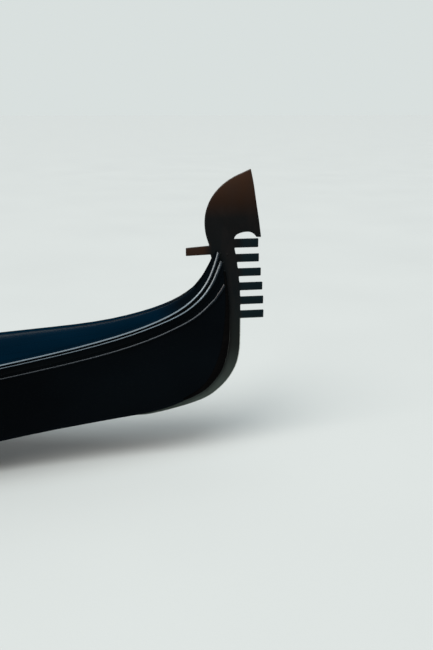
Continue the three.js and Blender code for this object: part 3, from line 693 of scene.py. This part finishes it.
def walnut(name, colours):
    """Oiled walnut with long figure up the grain."""
    made = Finish(name, Specular_IOR_Level=0.4)
    tone = colours.walnut
    bend = made.noise(3, (1, 1, 0.4), detail=3)
    grain = made.noise(16, (7, 7, 0.8), detail=8, roughness=0.6)
    wood = made.shades(grain, tone, (0.32, 0.32), (0.5, 0.85), (0.72, 1.5))
    figured = made.mix(made.ranged(bend, 0.4, 0.65, 0.0, 0.55), wood, shaded(tone, 0.5))
    return made.done(figured, made.ranged(grain, 0.3, 0.7, 0.42, 0.28), made.bump(grain, 0.0005))


def pale_floor(name, colours):
    """A plain pale floor, dimmer where lacquer mirrors it."""
    made = Finish(name, Specular_IOR_Level=0.2)
    cloud = made.noise(0.6)
    tint = made.shades(cloud, colours.floor, (0.3, 0.985), (0.7, 1))
    seen = made.mix(made.add("LightPath").outputs["Is Glossy Ray"], tint, shaded(colours.floor, 0.3))
    rough = made.ranged(cloud, 0.3, 0.7, 0.7, 0.8)
    return made.done(seen, rough, made.bump(made.noise(90, detail=3), 0.0003))


FINISHES = {
    **dict.fromkeys(LACQUERS, lacquer),
    **dict.fromkeys(TIMBERS, timber),
    **dict.fromkeys(BOARDS, boards),
}
for alone in (deck_lacquer, bottom_paint, dark_iron, rubbed_iron, brass, red_velvet, walnut, pale_floor):
    FINISHES[alone.__name__] = alone
made_finishes = {}


def finish_of(name):
    """A finish by name, made when it is first asked for."""
    if name not in made_finishes:
        made_finishes[name] = FINISHES[name](name, bpy.context.scene.gondola_colours)
    return made_finishes[name]


# Hull
def lay_side(name):
    """One side of the hull, straight from the sheer to its lower edge."""
    shares = (0.25, 0.5, 0.75)
    sections = []
    for station in STATIONS[name]:
        top = on_side(station, 0, CAP_DEPTH + GAP)
        outer = [top, *(top.lerp(station.low, share) for share in shares), station.low]
        inner = [point - station.out * PLANK for point in reversed(outer)]
        sections.append(outer + inner)
    piece = loft("side_planking_" + name, sections)
    shade(piece, 40)
    fit(piece, "black_lacquer", "black_lacquer", *nodes_named("side_plank_" + name))


def lay_bottom():
    """The flat bottom, rising towards both ends, up to where the sides nearly meet."""
    first, last = 5 * STEPS, LAST - 5 * STEPS
    sections = []
    for port, starboard in list(zip(STATIONS["port"], STATIONS["starboard"]))[first:last + 1]:
        top = port.low.z - GAP
        x, left, right = port.low.x, port.low.y, starboard.low.y
        corners = ((left, top), (right, top), (right, top - BOTTOM), (left, top - BOTTOM))
        sections.append([Vector((x, y, z)) for y, z in corners])
    piece = loft("bottom_planking", sections)
    shade(piece, 40)
    dress(piece, "bottom_paint", "black_lacquer")
    paint_faces(piece, lambda face: abs(face.normal.z) < 0.5)
    fit(piece, None, "bottom_paint", *nodes_named("hull_bottom"))


def gunwale_section(station):
    """A cap over the plank and an apron outside it, set in behind the two beads."""
    inner = -cap_width(station.half)
    chamfer, face, beads = 0.002, 0.005, 0.030
    under_beads = beads + bead_spread(station)
    outline = [(inner, chamfer), (inner + chamfer, 0), (-0.0005, 0), (BED, BEAD_BACK), (BED, under_beads)]
    outline += [(face, under_beads + chamfer), (face, APRON - chamfer), (face - chamfer, APRON)]
    outline += [(GAP, APRON), (GAP, CAP_DEPTH), (inner, CAP_DEPTH)]
    return [on_side(station, outward, downward) for outward, downward in outline]


def lay_bead(name, finish, stations, outline, drop):
    """A moulding along the side: its upward faces wear the given brighter, glossier lacquer, a painted
    highlight, and its underside the dull black lacquer, painted shade.
    """
    sections = [[on_side(s, outward, drop(s) + down) for outward, down in outline] for s in stations]
    piece = loft(name, sections)
    shade(piece, 60)
    dress(piece, finish, "black_lacquer")
    # Faces that look down are painted dull black: painted shade under the bead.
    paint_faces(piece, lambda face: face.normal.z < 0.15)
    return piece


def lay_gunwale(name, sizes):
    """The cap and apron, with two beads along the apron's top that look up and outward."""
    body = loft("gunwale", [gunwale_section(station) for station in STATIONS[name]])
    shade(body, 40)
    dress(body, "black_lacquer", "deck_lacquer")
    # The cap's upward faces wear the deck lacquer, whose navy is a painted reflection of sky.
    paint_faces(body, lambda face: face.normal.z > 0.25 and face.area > 0.0002)
    back = BED - 0.001
    upper = moulding(back, 0, 0, (0.004, 88, 62), (sizes.bead, 62, 38), (0.004, 38, -60))
    lower = moulding(back, 0.002, 0.0155, (0.003, 78, 62), (sizes.bead * 1.2, 62, 38), (0.0035, 38, -80))
    beads = [lay_bead("upper_bead", "bead_lacquer", STATIONS[name], upper, lambda _station: 0)]
    beads.append(lay_bead("lower_bead", "bead_lacquer", STATIONS[name], lower, bead_spread))
    piece = joined("gunwale_cap_" + name, [body, *beads])
    fit(piece, None, "black_lacquer", "gunwale_" + name)


def lay_rub_bead(name, sizes):
    """The lower moulding along the side."""
    outline = moulding(GAP, GAP, -0.008, (0.003, 80, 56), (sizes.rub_face, 56, 30), (0.004, 30, -70))
    stations = STATIONS[name][STEPS - 1:LAST - STEPS + 2]
    piece = lay_bead("rub_moulding_" + name, "rub_lacquer", stations, outline, bead_drop)
    fit(piece, None, "black_lacquer", "rub_bead_" + name)


DECK_SHARES = [i / 7 - 1 for i in range(15)]
# Columns: piece, solid, first and last station.
DECKS = (
    ("bow_deck_lacquered", "bow_deck", 16 * STEPS + STEPS // 2 + 1, LAST - 3 * STEPS - 2),
    ("stern_deck_lacquered", "stern_deck", 3 * STEPS + 2, 9 * STEPS),
)


def deck_line(index, down):
    """Points across a deck from cap to cap, crowned along the middle."""
    edges = []
    for name in ("starboard", "port"):
        station = STATIONS[name][index]
        edges.append(on_side(station, -cap_width(station.half) - GAP, down))
    crown = DECK["crown"] * min(1.0, (edges[1].y - edges[0].y) / DECK["crowned_over"])
    line = [edges[0].lerp(edges[1], (share + 1) / 2) for share in DECK_SHARES]
    rises = [crown * (1 - share * share) for share in DECK_SHARES]
    return [point + Vector((0, 0, rise)) for point, rise in zip(line, rises)]


def lay_deck(name, node, first, last):
    """A crowned deck of narrow boards, lacquered over."""
    top, under = DECK["drop"], DECK["drop"] + DECK["thickness"]
    sections = [deck_line(i, top) + deck_line(i, under)[::-1] for i in range(first, last + 1)]
    piece = loft(name, sections)
    shade(piece, 40)
    fit(piece, "deck_lacquer", "deck_lacquer", node)


# Timbers, boards and irons
def finish_copy(node, name, finish, slot, edge, segments):
    """A solid's copy with its edges eased, in its own finish."""
    piece = copy_of(node, name)
    round_edges(piece, edge, segments)
    fit(piece, finish, slot, node)


def panelled(node, name, test, panel, edge, shape=None):
    """A solid's copy in lacquer, with a panel sunk into each face that passes a test.

    A panel has a border, a depth and, where it has a raised field, that field's own border.
    """
    piece = copy_of(node, name)
    border, depth, *field = panel
    edit(piece, "FACE", lambda face: test(face, piece.data.vertices))
    bpy.ops.mesh.inset(thickness=border, depth=0)
    bpy.ops.mesh.inset(thickness=depth, depth=-depth)
    for width in field:
        bpy.ops.mesh.inset(thickness=width, depth=0)
        bpy.ops.mesh.inset(thickness=depth * 2, depth=depth)
    close()
    if shape is not None:
        shape(piece)
    round_edges(piece, edge, 3)
    fit(piece, "furniture_lacquer", "black_lacquer", node)


def broad_faces(least, lowest=-math.inf):
    """A test for faces that look ahead or astern, larger than an area and above a height."""
    def test(face, points):
        high_enough = min(points[i].co.z for i in face.vertices) > lowest
        return abs(face.normal.x) > 0.99 and face.area > least and high_enough

    return test


# The narrowest board left at an edge, and how far the saw reaches past, above and below the boards.
SAW = {"narrowest": 0.02, "past": 0.05, "above": 0.01, "below": 0.0005}
BOARD_EDGE = 0.0015
# Columns: solid, piece, whether its boards run along the boat, their thickness.
FLOORS = (
    ("floorboards", "floor_boards", True, 0.016),
    ("fore_platform", "fore_platform_boards", True, 0.018),
    ("low_aft_platform", "low_aft_boards", False, 0.018),
    ("high_aft_platform", "high_aft_boards", False, 0.018),
)


def cut_boards(piece, sizes, lengthwise, top, depth):
    """Saws a level sheet into boards, with an open gap between each two."""
    low, high = corners(piece)
    axis = 1 if lengthwise else 0
    other = 1 - axis
    half = sizes.board_gap / 2
    saws = []
    place = (math.floor(low[axis] / sizes.board) + 1) * sizes.board
    while place < high[axis] - SAW["narrowest"]:
        if place > low[axis] + SAW["narrowest"]:
            corner = [0.0, 0.0, top - depth]
            far = [0.0, 0.0, top + SAW["above"]]
            corner[axis], far[axis] = place - half, place + half
            corner[other], far[other] = low[other] - SAW["past"], high[other] + SAW["past"]
            saws.append(block("saw", corner, far))
        place += sizes.board
    saw = joined("saw", saws)
    apply(piece, "BOOLEAN", operation="DIFFERENCE", object=saw, solver="EXACT")
    bpy.data.objects.remove(saw)


def lay_boards(node, name, lengthwise, thickness, sizes):
    """A platform or floor of separate boards with eased edges."""
    piece = copy_of(node, name)
    cut_boards(piece, sizes, lengthwise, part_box(node)[1].z, thickness + SAW["below"])
    round_edges(piece, BOARD_EDGE, 2)
    fit(piece, "boards_along" if lengthwise else "boards_across", "floor_boards", node)


# Nail heads on the bow iron. Columns: x, z.
RIVET_PLACES = ((5.283, 1.135), (5.318, 1.125), (5.297, 1.175), (5.336, 1.170), (5.321, 1.078))
RIVET = {"radius": 0.006, "height": 0.45, "aside": 0.005}


def nail_bow_iron():
    """Low round heads on both faces of the bow iron, where it sits on the stem."""
    radius = RIVET["radius"]
    heads = []
    for x, z in RIVET_PLACES:
        for side in (-1, 1):
            place = (x, side * RIVET["aside"], z)
            heads.append(ball("head", place, (radius, radius * RIVET["height"], radius), 14, 8))
    piece = joined("bow_iron_rivets", heads)
    shade(piece, 60)
    fit(piece, "dark_iron", "dark_iron")


# Cushions
# Columns: solid, axis through it, buttons each way, what is cut off its low and its high corner.
CUSHIONS = (
    ("seat_cushion", "Z", (2, 4), (0.010, 0.010, 0.002), (0.010, 0.010, 0.016)),
    ("back_cushion", "X", (4, 2), (0.002, 0.010, 0.012), (0.016, 0.010, 0.010)),
    ("chair_cushion_port", "Z", (2, 2), (0.008, 0.008, 0.002), (0.008, 0.008, 0.012)),
    ("chair_cushion_starboard", "Z", (2, 2), (0.008, 0.008, 0.002), (0.008, 0.008, 0.012)),
)
# The dip round a button, and how near to it the cloth is held.
DIP = {"deep": 0.014, "wide": 0.028, "held": 0.016}
CUSHION_EDGE = 0.016
# How far the piping lies from a cushion's top and from its underside.
TOP_SEAM = 0.012
LOW_SEAM = 0.014
SEAM_POINTS = 96


def spread(low, high, count):
    """Places of a row of buttons between two edges."""
    return [low + (high - low) * (i + 0.5) / count for i in range(count)]


def swell(piece, sizes, held):
    """Blows a cushion's cloth up from its cut shape, held at its buttons, and caps how far it moves."""
    cut = [point.co.copy() for point in piece.data.vertices]
    group = piece.vertex_groups.new(name="held")
    near = [i for i, co in enumerate(cut) if any((co - place).length < DIP["held"] for place in held)]
    group.add(near, 1.0, "REPLACE")
    only(piece)
    modifier = piece.modifiers.new("Cloth", "CLOTH")
    cloth = modifier.settings
    cloth.quality = 4
    cloth.mass = 0.3
    cloth.use_pressure = True
    cloth.uniform_pressure_force = 4
    cloth.effector_weights.gravity = 0
    cloth.vertex_group_mass = "held"
    modifier.point_cache.frame_start = 1
    modifier.point_cache.frame_end = sizes.frames
    for step in range(1, sizes.frames + 1):
        bpy.context.scene.frame_set(step)
    bpy.ops.object.modifier_apply(modifier=modifier.name)
    bpy.context.scene.frame_set(1)
    for point, start in zip(piece.data.vertices, cut):
        move = point.co - start
        if move.length > sizes.crown:
            point.co = start + move * (sizes.crown / move.length)


def seam_line(tree, at, middle, half, level):
    """Points round a cushion at one level, found by looking in from outside."""
    points = []
    target = at(level, *middle)
    for i in range(SEAM_POINTS):
        angle = math.tau * i / SEAM_POINTS
        way = Vector((math.cos(angle), math.sin(angle)))
        reach = min(half[0] / max(abs(way.x), 1e-6), half[1] / max(abs(way.y), 1e-6))
        start = way * (reach * 1.3)
        origin = at(level, middle[0] + start.x, middle[1] + start.y)
        hit = tree.ray_cast(origin, (target - origin).normalized())[0]
        if hit is not None:
            points.append(hit)
    return points


def cushion(node, thin, counts, off_low, off_high, sizes):
    """A stuffed cushion with piping and buttons. thin is the axis through it."""
    axis = "XYZ".index(thin)
    flat = [i for i in range(3) if i != axis]
    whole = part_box(node)
    rows = [spread(whole[0][i], whole[1][i], count) for i, count in zip(flat, counts)]
    buttons = [(a, b) for a in rows[0] for b in rows[1]]
    low, high = whole[0] + Vector(off_low), whole[1] - Vector(off_high)
    centre = (low + high) / 2

    def at(level, a, b):
        """A point by its level along the thin axis and its place on the other two."""
        point = Vector()
        point[axis], point[flat[0]], point[flat[1]] = level, a, b
        return point

    piece = block(node + "_stuffed", low, high)
    round_edges(piece, CUSHION_EDGE, 3)
    apply(piece, "REMESH", mode="VOXEL", voxel_size=sizes.voxel)
    levels = {1: high[axis]} if thin == "X" else {1: high[axis], -1: low[axis]}
    held = []
    for a, b in buttons:
        for side, level in levels.items():
            place = at(level, a, b)
            held.append(place - at(DIP["deep"] * side, 0, 0))
            for point in piece.data.vertices:
                if (point.co[axis] - centre[axis]) * side > 0:
                    away = point.co - place
                    away[axis] = 0
                    point.co[axis] -= side * DIP["deep"] * math.exp(-(away.length / DIP["wide"]) ** 2)
    swell(piece, sizes, held)
    for point in piece.data.vertices:
        point.co[axis] = max(point.co[axis], whole[0][axis])
    apply(piece, "SUBSURF", levels=1, render_levels=1)
    face_out(piece)
    shade(piece, 180)
    mesh = piece.data
    tree = BVHTree.FromPolygons([v.co for v in mesh.vertices], [p.vertices for p in mesh.polygons])
    middle = [centre[i] for i in flat]
    half = [(high[i] - low[i]) / 2 for i in flat]
    trims = []
    for side, level in levels.items():
        seam = level - TOP_SEAM if side > 0 else level + LOW_SEAM
        line = seam_line(tree, at, middle, half, seam)
        trims.append(tube("piping", line, [sizes.piping] * len(line), cyclic=True))
    for a, b in buttons:
        hit = tree.ray_cast(at(high[axis] + 0.1, a, b), at(-1, 0, 0))[0]
        trims.append(ball("button", hit, at(sizes.button / 2, sizes.button, sizes.button), 16, 8))
    trim = joined(node + "_stuffed_trim", trims)
    shade(trim, 60)
    fit(piece, "red_velvet", "red_velvet", node)
    fit(trim, "red_velvet", "red_velvet")


# Operators, one for each piece or group of like pieces
class GondolaStep(bpy.types.Operator):
    """What the steps of the finishing share. Each has its own build"""

    bl_options = {"REGISTER", "UNDO"}

    def execute(self, context):
        self.build(context.scene.gondola_sizes)
        return {"FINISHED"}


class GONDOLA_OT_planking(GondolaStep):
    """Lays the two sides and the flat bottom"""

    bl_idname = "gondola.planking"
    bl_label = "Planking"

    def build(self, sizes):
        for name in SIDES:
            lay_side(name)
        lay_bottom()


class GONDOLA_OT_gunwales(GondolaStep):
    """Lays the gunwale caps with their beads, and the rub mouldings below them"""

    bl_idname = "gondola.gunwales"
    bl_label = "Gunwales and beads"

    def build(self, sizes):
        for name in SIDES:
            lay_gunwale(name, sizes)
            lay_rub_bead(name, sizes)


class GONDOLA_OT_decks(GondolaStep):
    """Lays the crowned decks and the panelled boards that end them"""

    bl_idname = "gondola.decks"
    bl_label = "Decks"

    def build(self, sizes):
        for row in DECKS:
            lay_deck(*row)
        for node in ("bow_coaming", "stern_coaming"):
            panelled(node, node + "_carved", broad_faces(0.02), (0.02, 0.004), sizes.edge)


class GONDOLA_OT_timbers(GondolaStep):
    """Finishes stem and stern timbers, ribs and thwarts"""

    bl_idname = "gondola.timbers"
    bl_label = "Timbers"

    def build(self, sizes):
        for node in ("stem_timber", "stern_timber"):
            finish_copy(node, node + "_shaped", "tarred_timber", "dark_timber", 0.002, 2)
        for node in ("fore_thwart", "middle_thwart", "aft_thwart"):
            finish_copy(node, node + "_planed", "painted_timber", "dark_timber", 0.005, 3)
        for node in nodes_named("ribs_"):
            dress(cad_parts[node], "painted_timber")


class GONDOLA_OT_irons(GondolaStep):
    """Forges the toothed bow iron and the plain stern iron"""

    bl_idname = "gondola.irons"
    bl_label = "Irons"

    def build(self, sizes):
        for node in ("bow_iron", "stern_iron"):
            iron = copy_of(node, node + "_forged")
            dress(iron, "dark_iron", "rubbed_iron")
            points = iron.data.vertices
            rim = max(point.co.y for point in points) - 0.0001
            edit(iron, "EDGE", lambda edge: all(abs(points[i].co.y) > rim for i in edge.vertices))
            # The rounded edges take the second finish: the painted highlight low on the strap.
            bpy.ops.mesh.bevel(offset=sizes.iron_edge, segments=3, material=1)
            close()
            shade(iron, SHARP)
            fit(iron, None, "dark_iron", node)
        nail_bow_iron()


class GONDOLA_OT_floors(GondolaStep):
    """Lays the floor boards and the three platforms"""

    bl_idname = "gondola.floors"
    bl_label = "Floor boards"

    def build(self, sizes):
        for row in FLOORS:
            lay_boards(*row, sizes)


# Ribs on each side of the middle one, the turn and loss of length from one to the next, and the
# drop of their root from the crest.
SHELL = {"ribs": 3, "turn": 22, "length": 0.03, "shorter": 0.0022, "drop": 0.085}


class GONDOLA_OT_seat(GondolaStep):
    """Builds the main seat with its panelled front and carved back"""

    bl_idname = "gondola.seat"
    bl_label = "Main seat"

    def build(self, sizes):
        front = (0.04, 0.006, 0.03)
        panelled("seat_base", "seat_base_panelled", self.is_front, front, sizes.edge)
        panelled("seat_back", "seat_back_carved", broad_faces(0.1), (0.03, 0.005), 0.004)
        self.add_shell()

    @staticmethod
    def is_front(face, _points):
        return face.normal.x > 0.99 and face.area > 0.1

    @staticmethod
    def add_shell():
        """A brass scallop on the crest of the back, its ribs fanned from one root."""
        low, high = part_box("seat_back")
        root = Vector((high.x + 0.001, (low.y + high.y) / 2, high.z - SHELL["drop"]))
        ribs = []
        for i in range(-SHELL["ribs"], SHELL["ribs"] + 1):
            length = SHELL["length"] - SHELL["shorter"] * abs(i)
            rib = ball("rib", (0, 0, 0), (0.006, 0.0075, length), 12, 8)
            only(rib)
            bpy.ops.transform.translate(value=(0, 0, length))
            bpy.ops.object.transform_apply(location=True)
            turn = math.radians(SHELL["turn"] * i)
            bpy.ops.transform.rotate(value=turn, orient_axis="X", center_override=(0, 0, 0))
            bpy.ops.transform.translate(value=root)
            ribs.append(rib)
        ribs.append(ball("boss", root, (0.009, 0.014, 0.011), 14, 10))
        shell = joined("seat_shell", ribs)
        shade(shell, 60)
        fit(shell, "brass", "brass")


# Half a leg's width, the height up to which its points are drawn in, and the share they keep.
CHAIR_LEG = {"half": 0.018, "foot": 0.02, "kept": 0.62}


class GONDOLA_OT_chairs(GondolaStep):
    """Finishes the two side chairs, with tapered legs and a panelled back"""

    bl_idname = "gondola.chairs"
    bl_label = "Side chairs"

    def build(self, sizes):
        for name in SIDES:
            node = "chair_" + name
            low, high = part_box(node)
            backs = broad_faces(0.05, (low.z + high.z) / 2 - 0.1)
            panelled(node, node + "_turned", backs, (0.03, 0.004, 0.03), sizes.edge, self.taper_legs)

    @staticmethod
    def taper_legs(piece):
        """Draws the points at the foot of each leg in towards the leg's own middle."""
        low, high = corners(piece)
        for point in piece.data.vertices:
            if point.co.z < low[2] + CHAIR_LEG["foot"]:
                for i in (0, 1):
                    at_low = point.co[i] < (low[i] + high[i]) / 2
                    leg = low[i] + CHAIR_LEG["half"] if at_low else high[i] - CHAIR_LEG["half"]
                    point.co[i] = leg + (point.co[i] - leg) * CHAIR_LEG["kept"]


class GONDOLA_OT_cushions(GondolaStep):
    """Stuffs the seat, back and chair cushions"""

    bl_idname = "gondola.cushions"
    bl_label = "Cushions"

    def build(self, sizes):
        for row in CUSHIONS:
            cushion(*row, sizes)


# Sea horse, from its foot in millimetres. Columns: ahead, up, radius.
HORSE_BODY = ((2, 12, 17), (8, 30, 22), (14, 52, 25), (18, 76, 26), (20, 100, 22), (18, 124, 16),
              (14, 146, 14), (12, 166, 16), (14, 188, 19), (20, 206, 20), (30, 212, 17))
HORSE_SNOUT = ((22, 206, 17), (40, 200, 13), (58, 197, 9), (72, 196, 8))
HORSE_TAIL = ((4, 22, 14), (-14, 20, 9), (-26, 30, 7), (-30, 44, 6), (-22, 54, 5), (-12, 50, 4))
MILLIMETRE = 0.001
# Metres. Columns: what it is, its place ahead, aside and up, its radii, its segments and rings.
HORSE_PAIRS = (
    ("fin", (0.036, 0.012, 0.082), (0.016, 0.004, 0.012), 12, 8),
    ("eye", (0.024, 0.013, 0.214), (0.004, 0.004, 0.004), 10, 6),
    ("ear", (0.008, 0.009, 0.228), (0.005, 0.003, 0.008), 10, 6),
)
HORSE_CRESTS = 6
HORSE_NARROWED = 0.62
HORSE_VOXEL = 0.0022
PLINTH = {"length": 0.104, "half": 0.017, "height": 0.012}


class GONDOLA_OT_armrests(GondolaStep):
    """Shapes the armrests and casts the brass sea horses ahead of them"""

    bl_idname = "gondola.armrests"
    bl_label = "Armrests and sea horses"

    def build(self, sizes):
        for name in SIDES:
            node = "armrest_" + name
            finish_copy(node, node + "_shaped", "furniture_lacquer", "black_lacquer", 0.007, 3)
            self.cast_sea_horse("sea_horse_" + name)

    def cast_sea_horse(self, node):
        low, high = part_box(node)
        foot = Vector(((low.x + high.x) / 2 - 0.012, (low.y + high.y) / 2, low.z))
        parts = []
        for line in (HORSE_BODY, HORSE_SNOUT, HORSE_TAIL):
            places = [foot + Vector((ahead, 0, up)) * MILLIMETRE for ahead, up, _ in line]
            radii = [radius * MILLIMETRE for _, _, radius in line]
            parts.append(tube("part", places, radii, resolution=5))
        for i in range(HORSE_CRESTS):
            share = i / (HORSE_CRESTS - 1)
            place = foot + Vector((-0.002 - 0.004 * math.sin(share * 3), 0, 0.07 + 0.135 * share))
            parts.append(ball("crest", place, (0.011, 0.004, 0.007), 10, 6))
        for side in (-1, 1):
            for name, (ahead, aside, up), radii, segments, rings in HORSE_PAIRS:
                parts.append(ball(name, foot + Vector((ahead, side * aside, up)), radii, segments, rings))
        piece = joined(node + "_cast", parts)
        for point in piece.data.vertices:
            point.co.y = foot.y + (point.co.y - foot.y) * HORSE_NARROWED
        apply(piece, "REMESH", mode="VOXEL", voxel_size=HORSE_VOXEL)
        apply(piece, "SMOOTH", factor=0.5, iterations=4)
        half = PLINTH["half"]
        far = (low.x + PLINTH["length"], foot.y + half, low.z + PLINTH["height"])
        plinth = block("plinth", (low.x, foot.y - half, low.z), far)
        round_edges(plinth, 0.003, 3)
        piece = joined(node + "_cast", [piece, plinth])
        shade(piece, 60)
        fit(piece, "brass", "brass", node)


# Up to the height of its foot the rowlock isn't smoothed, so that it still fits its socket.
ROWLOCK = {"foot": 0.165, "voxel": 0.004, "smoothings": 40}
# The wedge's height at its thin end, and the places of its cleats up the slope.
FOOTREST = {"front": 0.012, "places": (0.22, 0.5, 0.78)}
CLEAT = {"half": 0.008, "inset": 0.015, "under": 0.003, "over": 0.007}


class GONDOLA_OT_rowlock(GondolaStep):
    """Carves the walnut rowlock, and finishes its block and the rower's footrest"""

    bl_idname = "gondola.rowlock"
    bl_label = "Rowlock and footrest"

    def build(self, sizes):
        finish_copy("rowlock_block", "rowlock_block_planed", "painted_timber", "dark_timber", 0.004, 3)
        carved = copy_of("rowlock", "rowlock_carved")
        apply(carved, "REMESH", mode="VOXEL", voxel_size=ROWLOCK["voxel"])
        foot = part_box("rowlock")[0].z + ROWLOCK["foot"]
        shaft = carved.vertex_groups.new(name="shaft")
        shaft.add([v.index for v in carved.data.vertices if v.co.z > foot], 1.0, "REPLACE")
        apply(carved, "SMOOTH", factor=0.5, iterations=ROWLOCK["smoothings"], vertex_group="shaft")
        apply(carved, "SUBSURF", levels=1, render_levels=1)
        shade(carved, 180)
        fit(carved, "walnut", "walnut", "rowlock", body="rowlock")
        self.build_footrest(sizes)

    @staticmethod
    def build_footrest(sizes):
        """A wedge with cleats across its slope."""
        low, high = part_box("footrest")
        wedge = copy_of("footrest", "footrest_wedge")
        round_edges(wedge, sizes.edge, 3)
        front, half, inset = FOOTREST["front"], CLEAT["half"], CLEAT["inset"]
        rise = high.z - low.z - front
        slope = math.atan2(rise, high.x - low.x)
        cleats = []
        for share in FOOTREST["places"]:
            x = low.x + (high.x - low.x) * share
            z = low.z + front + rise * share
            near = (x - half, low.y + inset, z - CLEAT["under"])
            far = (x + half, high.y - inset, z + CLEAT["over"])
            cleat = block("cleat", near, far)
            only(cleat)
            bpy.ops.transform.rotate(value=slope, orient_axis="Y", center_override=(x, 0, z))
            settle()
            round_edges(cleat, 0.002, 2)
            cleats.append(cleat)
        piece = joined("footrest_cleated", [wedge, *cleats])
        fit(piece, "boards_across", "floor_boards", "footrest")


FLOOR = {"half": 300, "depth": 0.4}
# Columns: name, where it shines from, spread in degrees, strength, colour.
LIGHTS = (
    ("overhead", (-0.4, -2.9, 8), 46, 2.0, (0.86, 0.95, 1.0)),
    ("quarter", (-5.4, -5.2, 6.8), 40, 2.3, (1.0, 0.94, 0.90)),
)
# The room as it is seen, as it lights the boat and as lacquer mirrors it.
ROOM = {"seen": (0.694, 0.745, 0.735), "lighting": (0.40, 0.41, 0.42), "mirrored": (0.018, 0.045, 0.08)}
CAMERA = {"place": (4.52, -4.29, 1.94), "tilt": 74.96, "turn": -10}
LENS = {"lens": 44.31, "sensor_width": 36, "clip_end": 1000}


class GONDOLA_OT_stage(GondolaStep):
    """Sets the pale floor round the hull, the soft lights and the camera"""

    bl_idname = "gondola.stage"
    bl_label = "Stage"

    def build(self, sizes):
        self.lay_floor()
        for light in LIGHTS:
            self.hang_light(*light)
        self.paint_room()
        self.set_camera()

    @staticmethod
    def lay_floor():
        """A pale floor at the waterline, open where the hull stands through it."""
        half = FLOOR["half"]
        floor = block("floor", (-half, -half, -FLOOR["depth"]), (half, half, 0))
        outline = {}
        for name in SIDES:
            line = []
            for station in STATIONS[name]:
                if station.low.z < BOTTOM / 2 and station.sheer.z > 0:
                    share = station.sheer.z / (station.sheer.z - min(station.low.z, 0))
                    point = station.sheer.lerp(station.low, share) - station.out * PLANK / 2
                    line.append((point.x, point.y))
            outline[name] = line
        ring = outline["port"] + outline["starboard"][::-1]
        hole = loft("hole", [[Vector((x, y, z)) for x, y in ring] for z in (-FLOOR["depth"] - 0.1, 0.1)])
        apply(floor, "BOOLEAN", operation="DIFFERENCE", object=hole, solver="EXACT")
        bpy.data.objects.remove(hole)
        dress(floor, "pale_floor")

    @staticmethod
    def hang_light(name, place, spread, energy, tone):
        """A broad far light that shines from a place towards the boat's middle."""
        bpy.ops.object.light_add(type="SUN", location=place)
        light = bpy.context.object
        light.name = light.data.name = name
        light.rotation_euler = Vector(place).to_track_quat("Z", "Y").to_euler()
        light.data.angle = math.radians(spread)
        light.data.energy = energy
        light.data.color = tone

    @staticmethod
    def paint_room():
        """A room as pale as the floor, which lights softly and looks dim where lacquer mirrors it."""
        world = bpy.data.worlds.new("studio")
        world.use_nodes = True
        tree = world.node_tree
        rays = tree.nodes.new("ShaderNodeLightPath").outputs
        seen = mixed(tree, rays["Is Diffuse Ray"], ROOM["seen"], ROOM["lighting"])
        seen = mixed(tree, rays["Is Glossy Ray"], seen, ROOM["mirrored"])
        tree.links.new(seen, tree.nodes["Background"].inputs["Color"])
        bpy.context.scene.world = world
        bpy.context.scene.view_settings.view_transform = "Standard"

    @staticmethod
    def set_camera():
        """Low over the floor off the starboard bow, looking ahead and a little down."""
        bpy.ops.object.camera_add(location=CAMERA["place"])
        camera = bpy.context.object
        camera.name = camera.data.name = "camera"
        camera.rotation_euler = (math.radians(CAMERA["tilt"]), 0, math.radians(CAMERA["turn"]))
        for key, value in LENS.items():
            setattr(camera.data, key, value)
        bpy.context.scene.camera = camera


STEPS_IN_ORDER = (
    "planking", "gunwales", "decks", "timbers", "irons", "floors", "seat", "chairs", "cushions",
    "armrests", "rowlock", "stage",
)


class GONDOLA_PT_panel(bpy.types.Panel):
    """Lists the finishing steps with their sizes and colours"""

    bl_idname = "GONDOLA_PT_panel"
    bl_label = "Gondola"
    bl_space_type = "VIEW_3D"
    bl_region_type = "UI"
    bl_category = "Gondola"

    def draw(self, context):
        for step in STEPS_IN_ORDER:
            self.layout.operator("gondola." + step)
        for group in (context.scene.gondola_sizes, context.scene.gondola_colours):
            box = self.layout.box()
            for key in group.__annotations__:
                box.prop(group, key)


CLASSES = (GondolaSizes, GondolaColours, *GondolaStep.__subclasses__(), GONDOLA_PT_panel)


def register():
    for made in CLASSES:
        bpy.utils.register_class(made)
    bpy.types.Scene.gondola_sizes = PointerProperty(type=GondolaSizes)
    bpy.types.Scene.gondola_colours = PointerProperty(type=GondolaColours)


def unregister():
    del bpy.types.Scene.gondola_colours
    del bpy.types.Scene.gondola_sizes
    for made in reversed(CLASSES):
        bpy.utils.unregister_class(made)


def main():
    register()
    for step in STEPS_IN_ORDER:
        getattr(bpy.ops.gondola, step)()


if __name__ == "__main__":
    main()
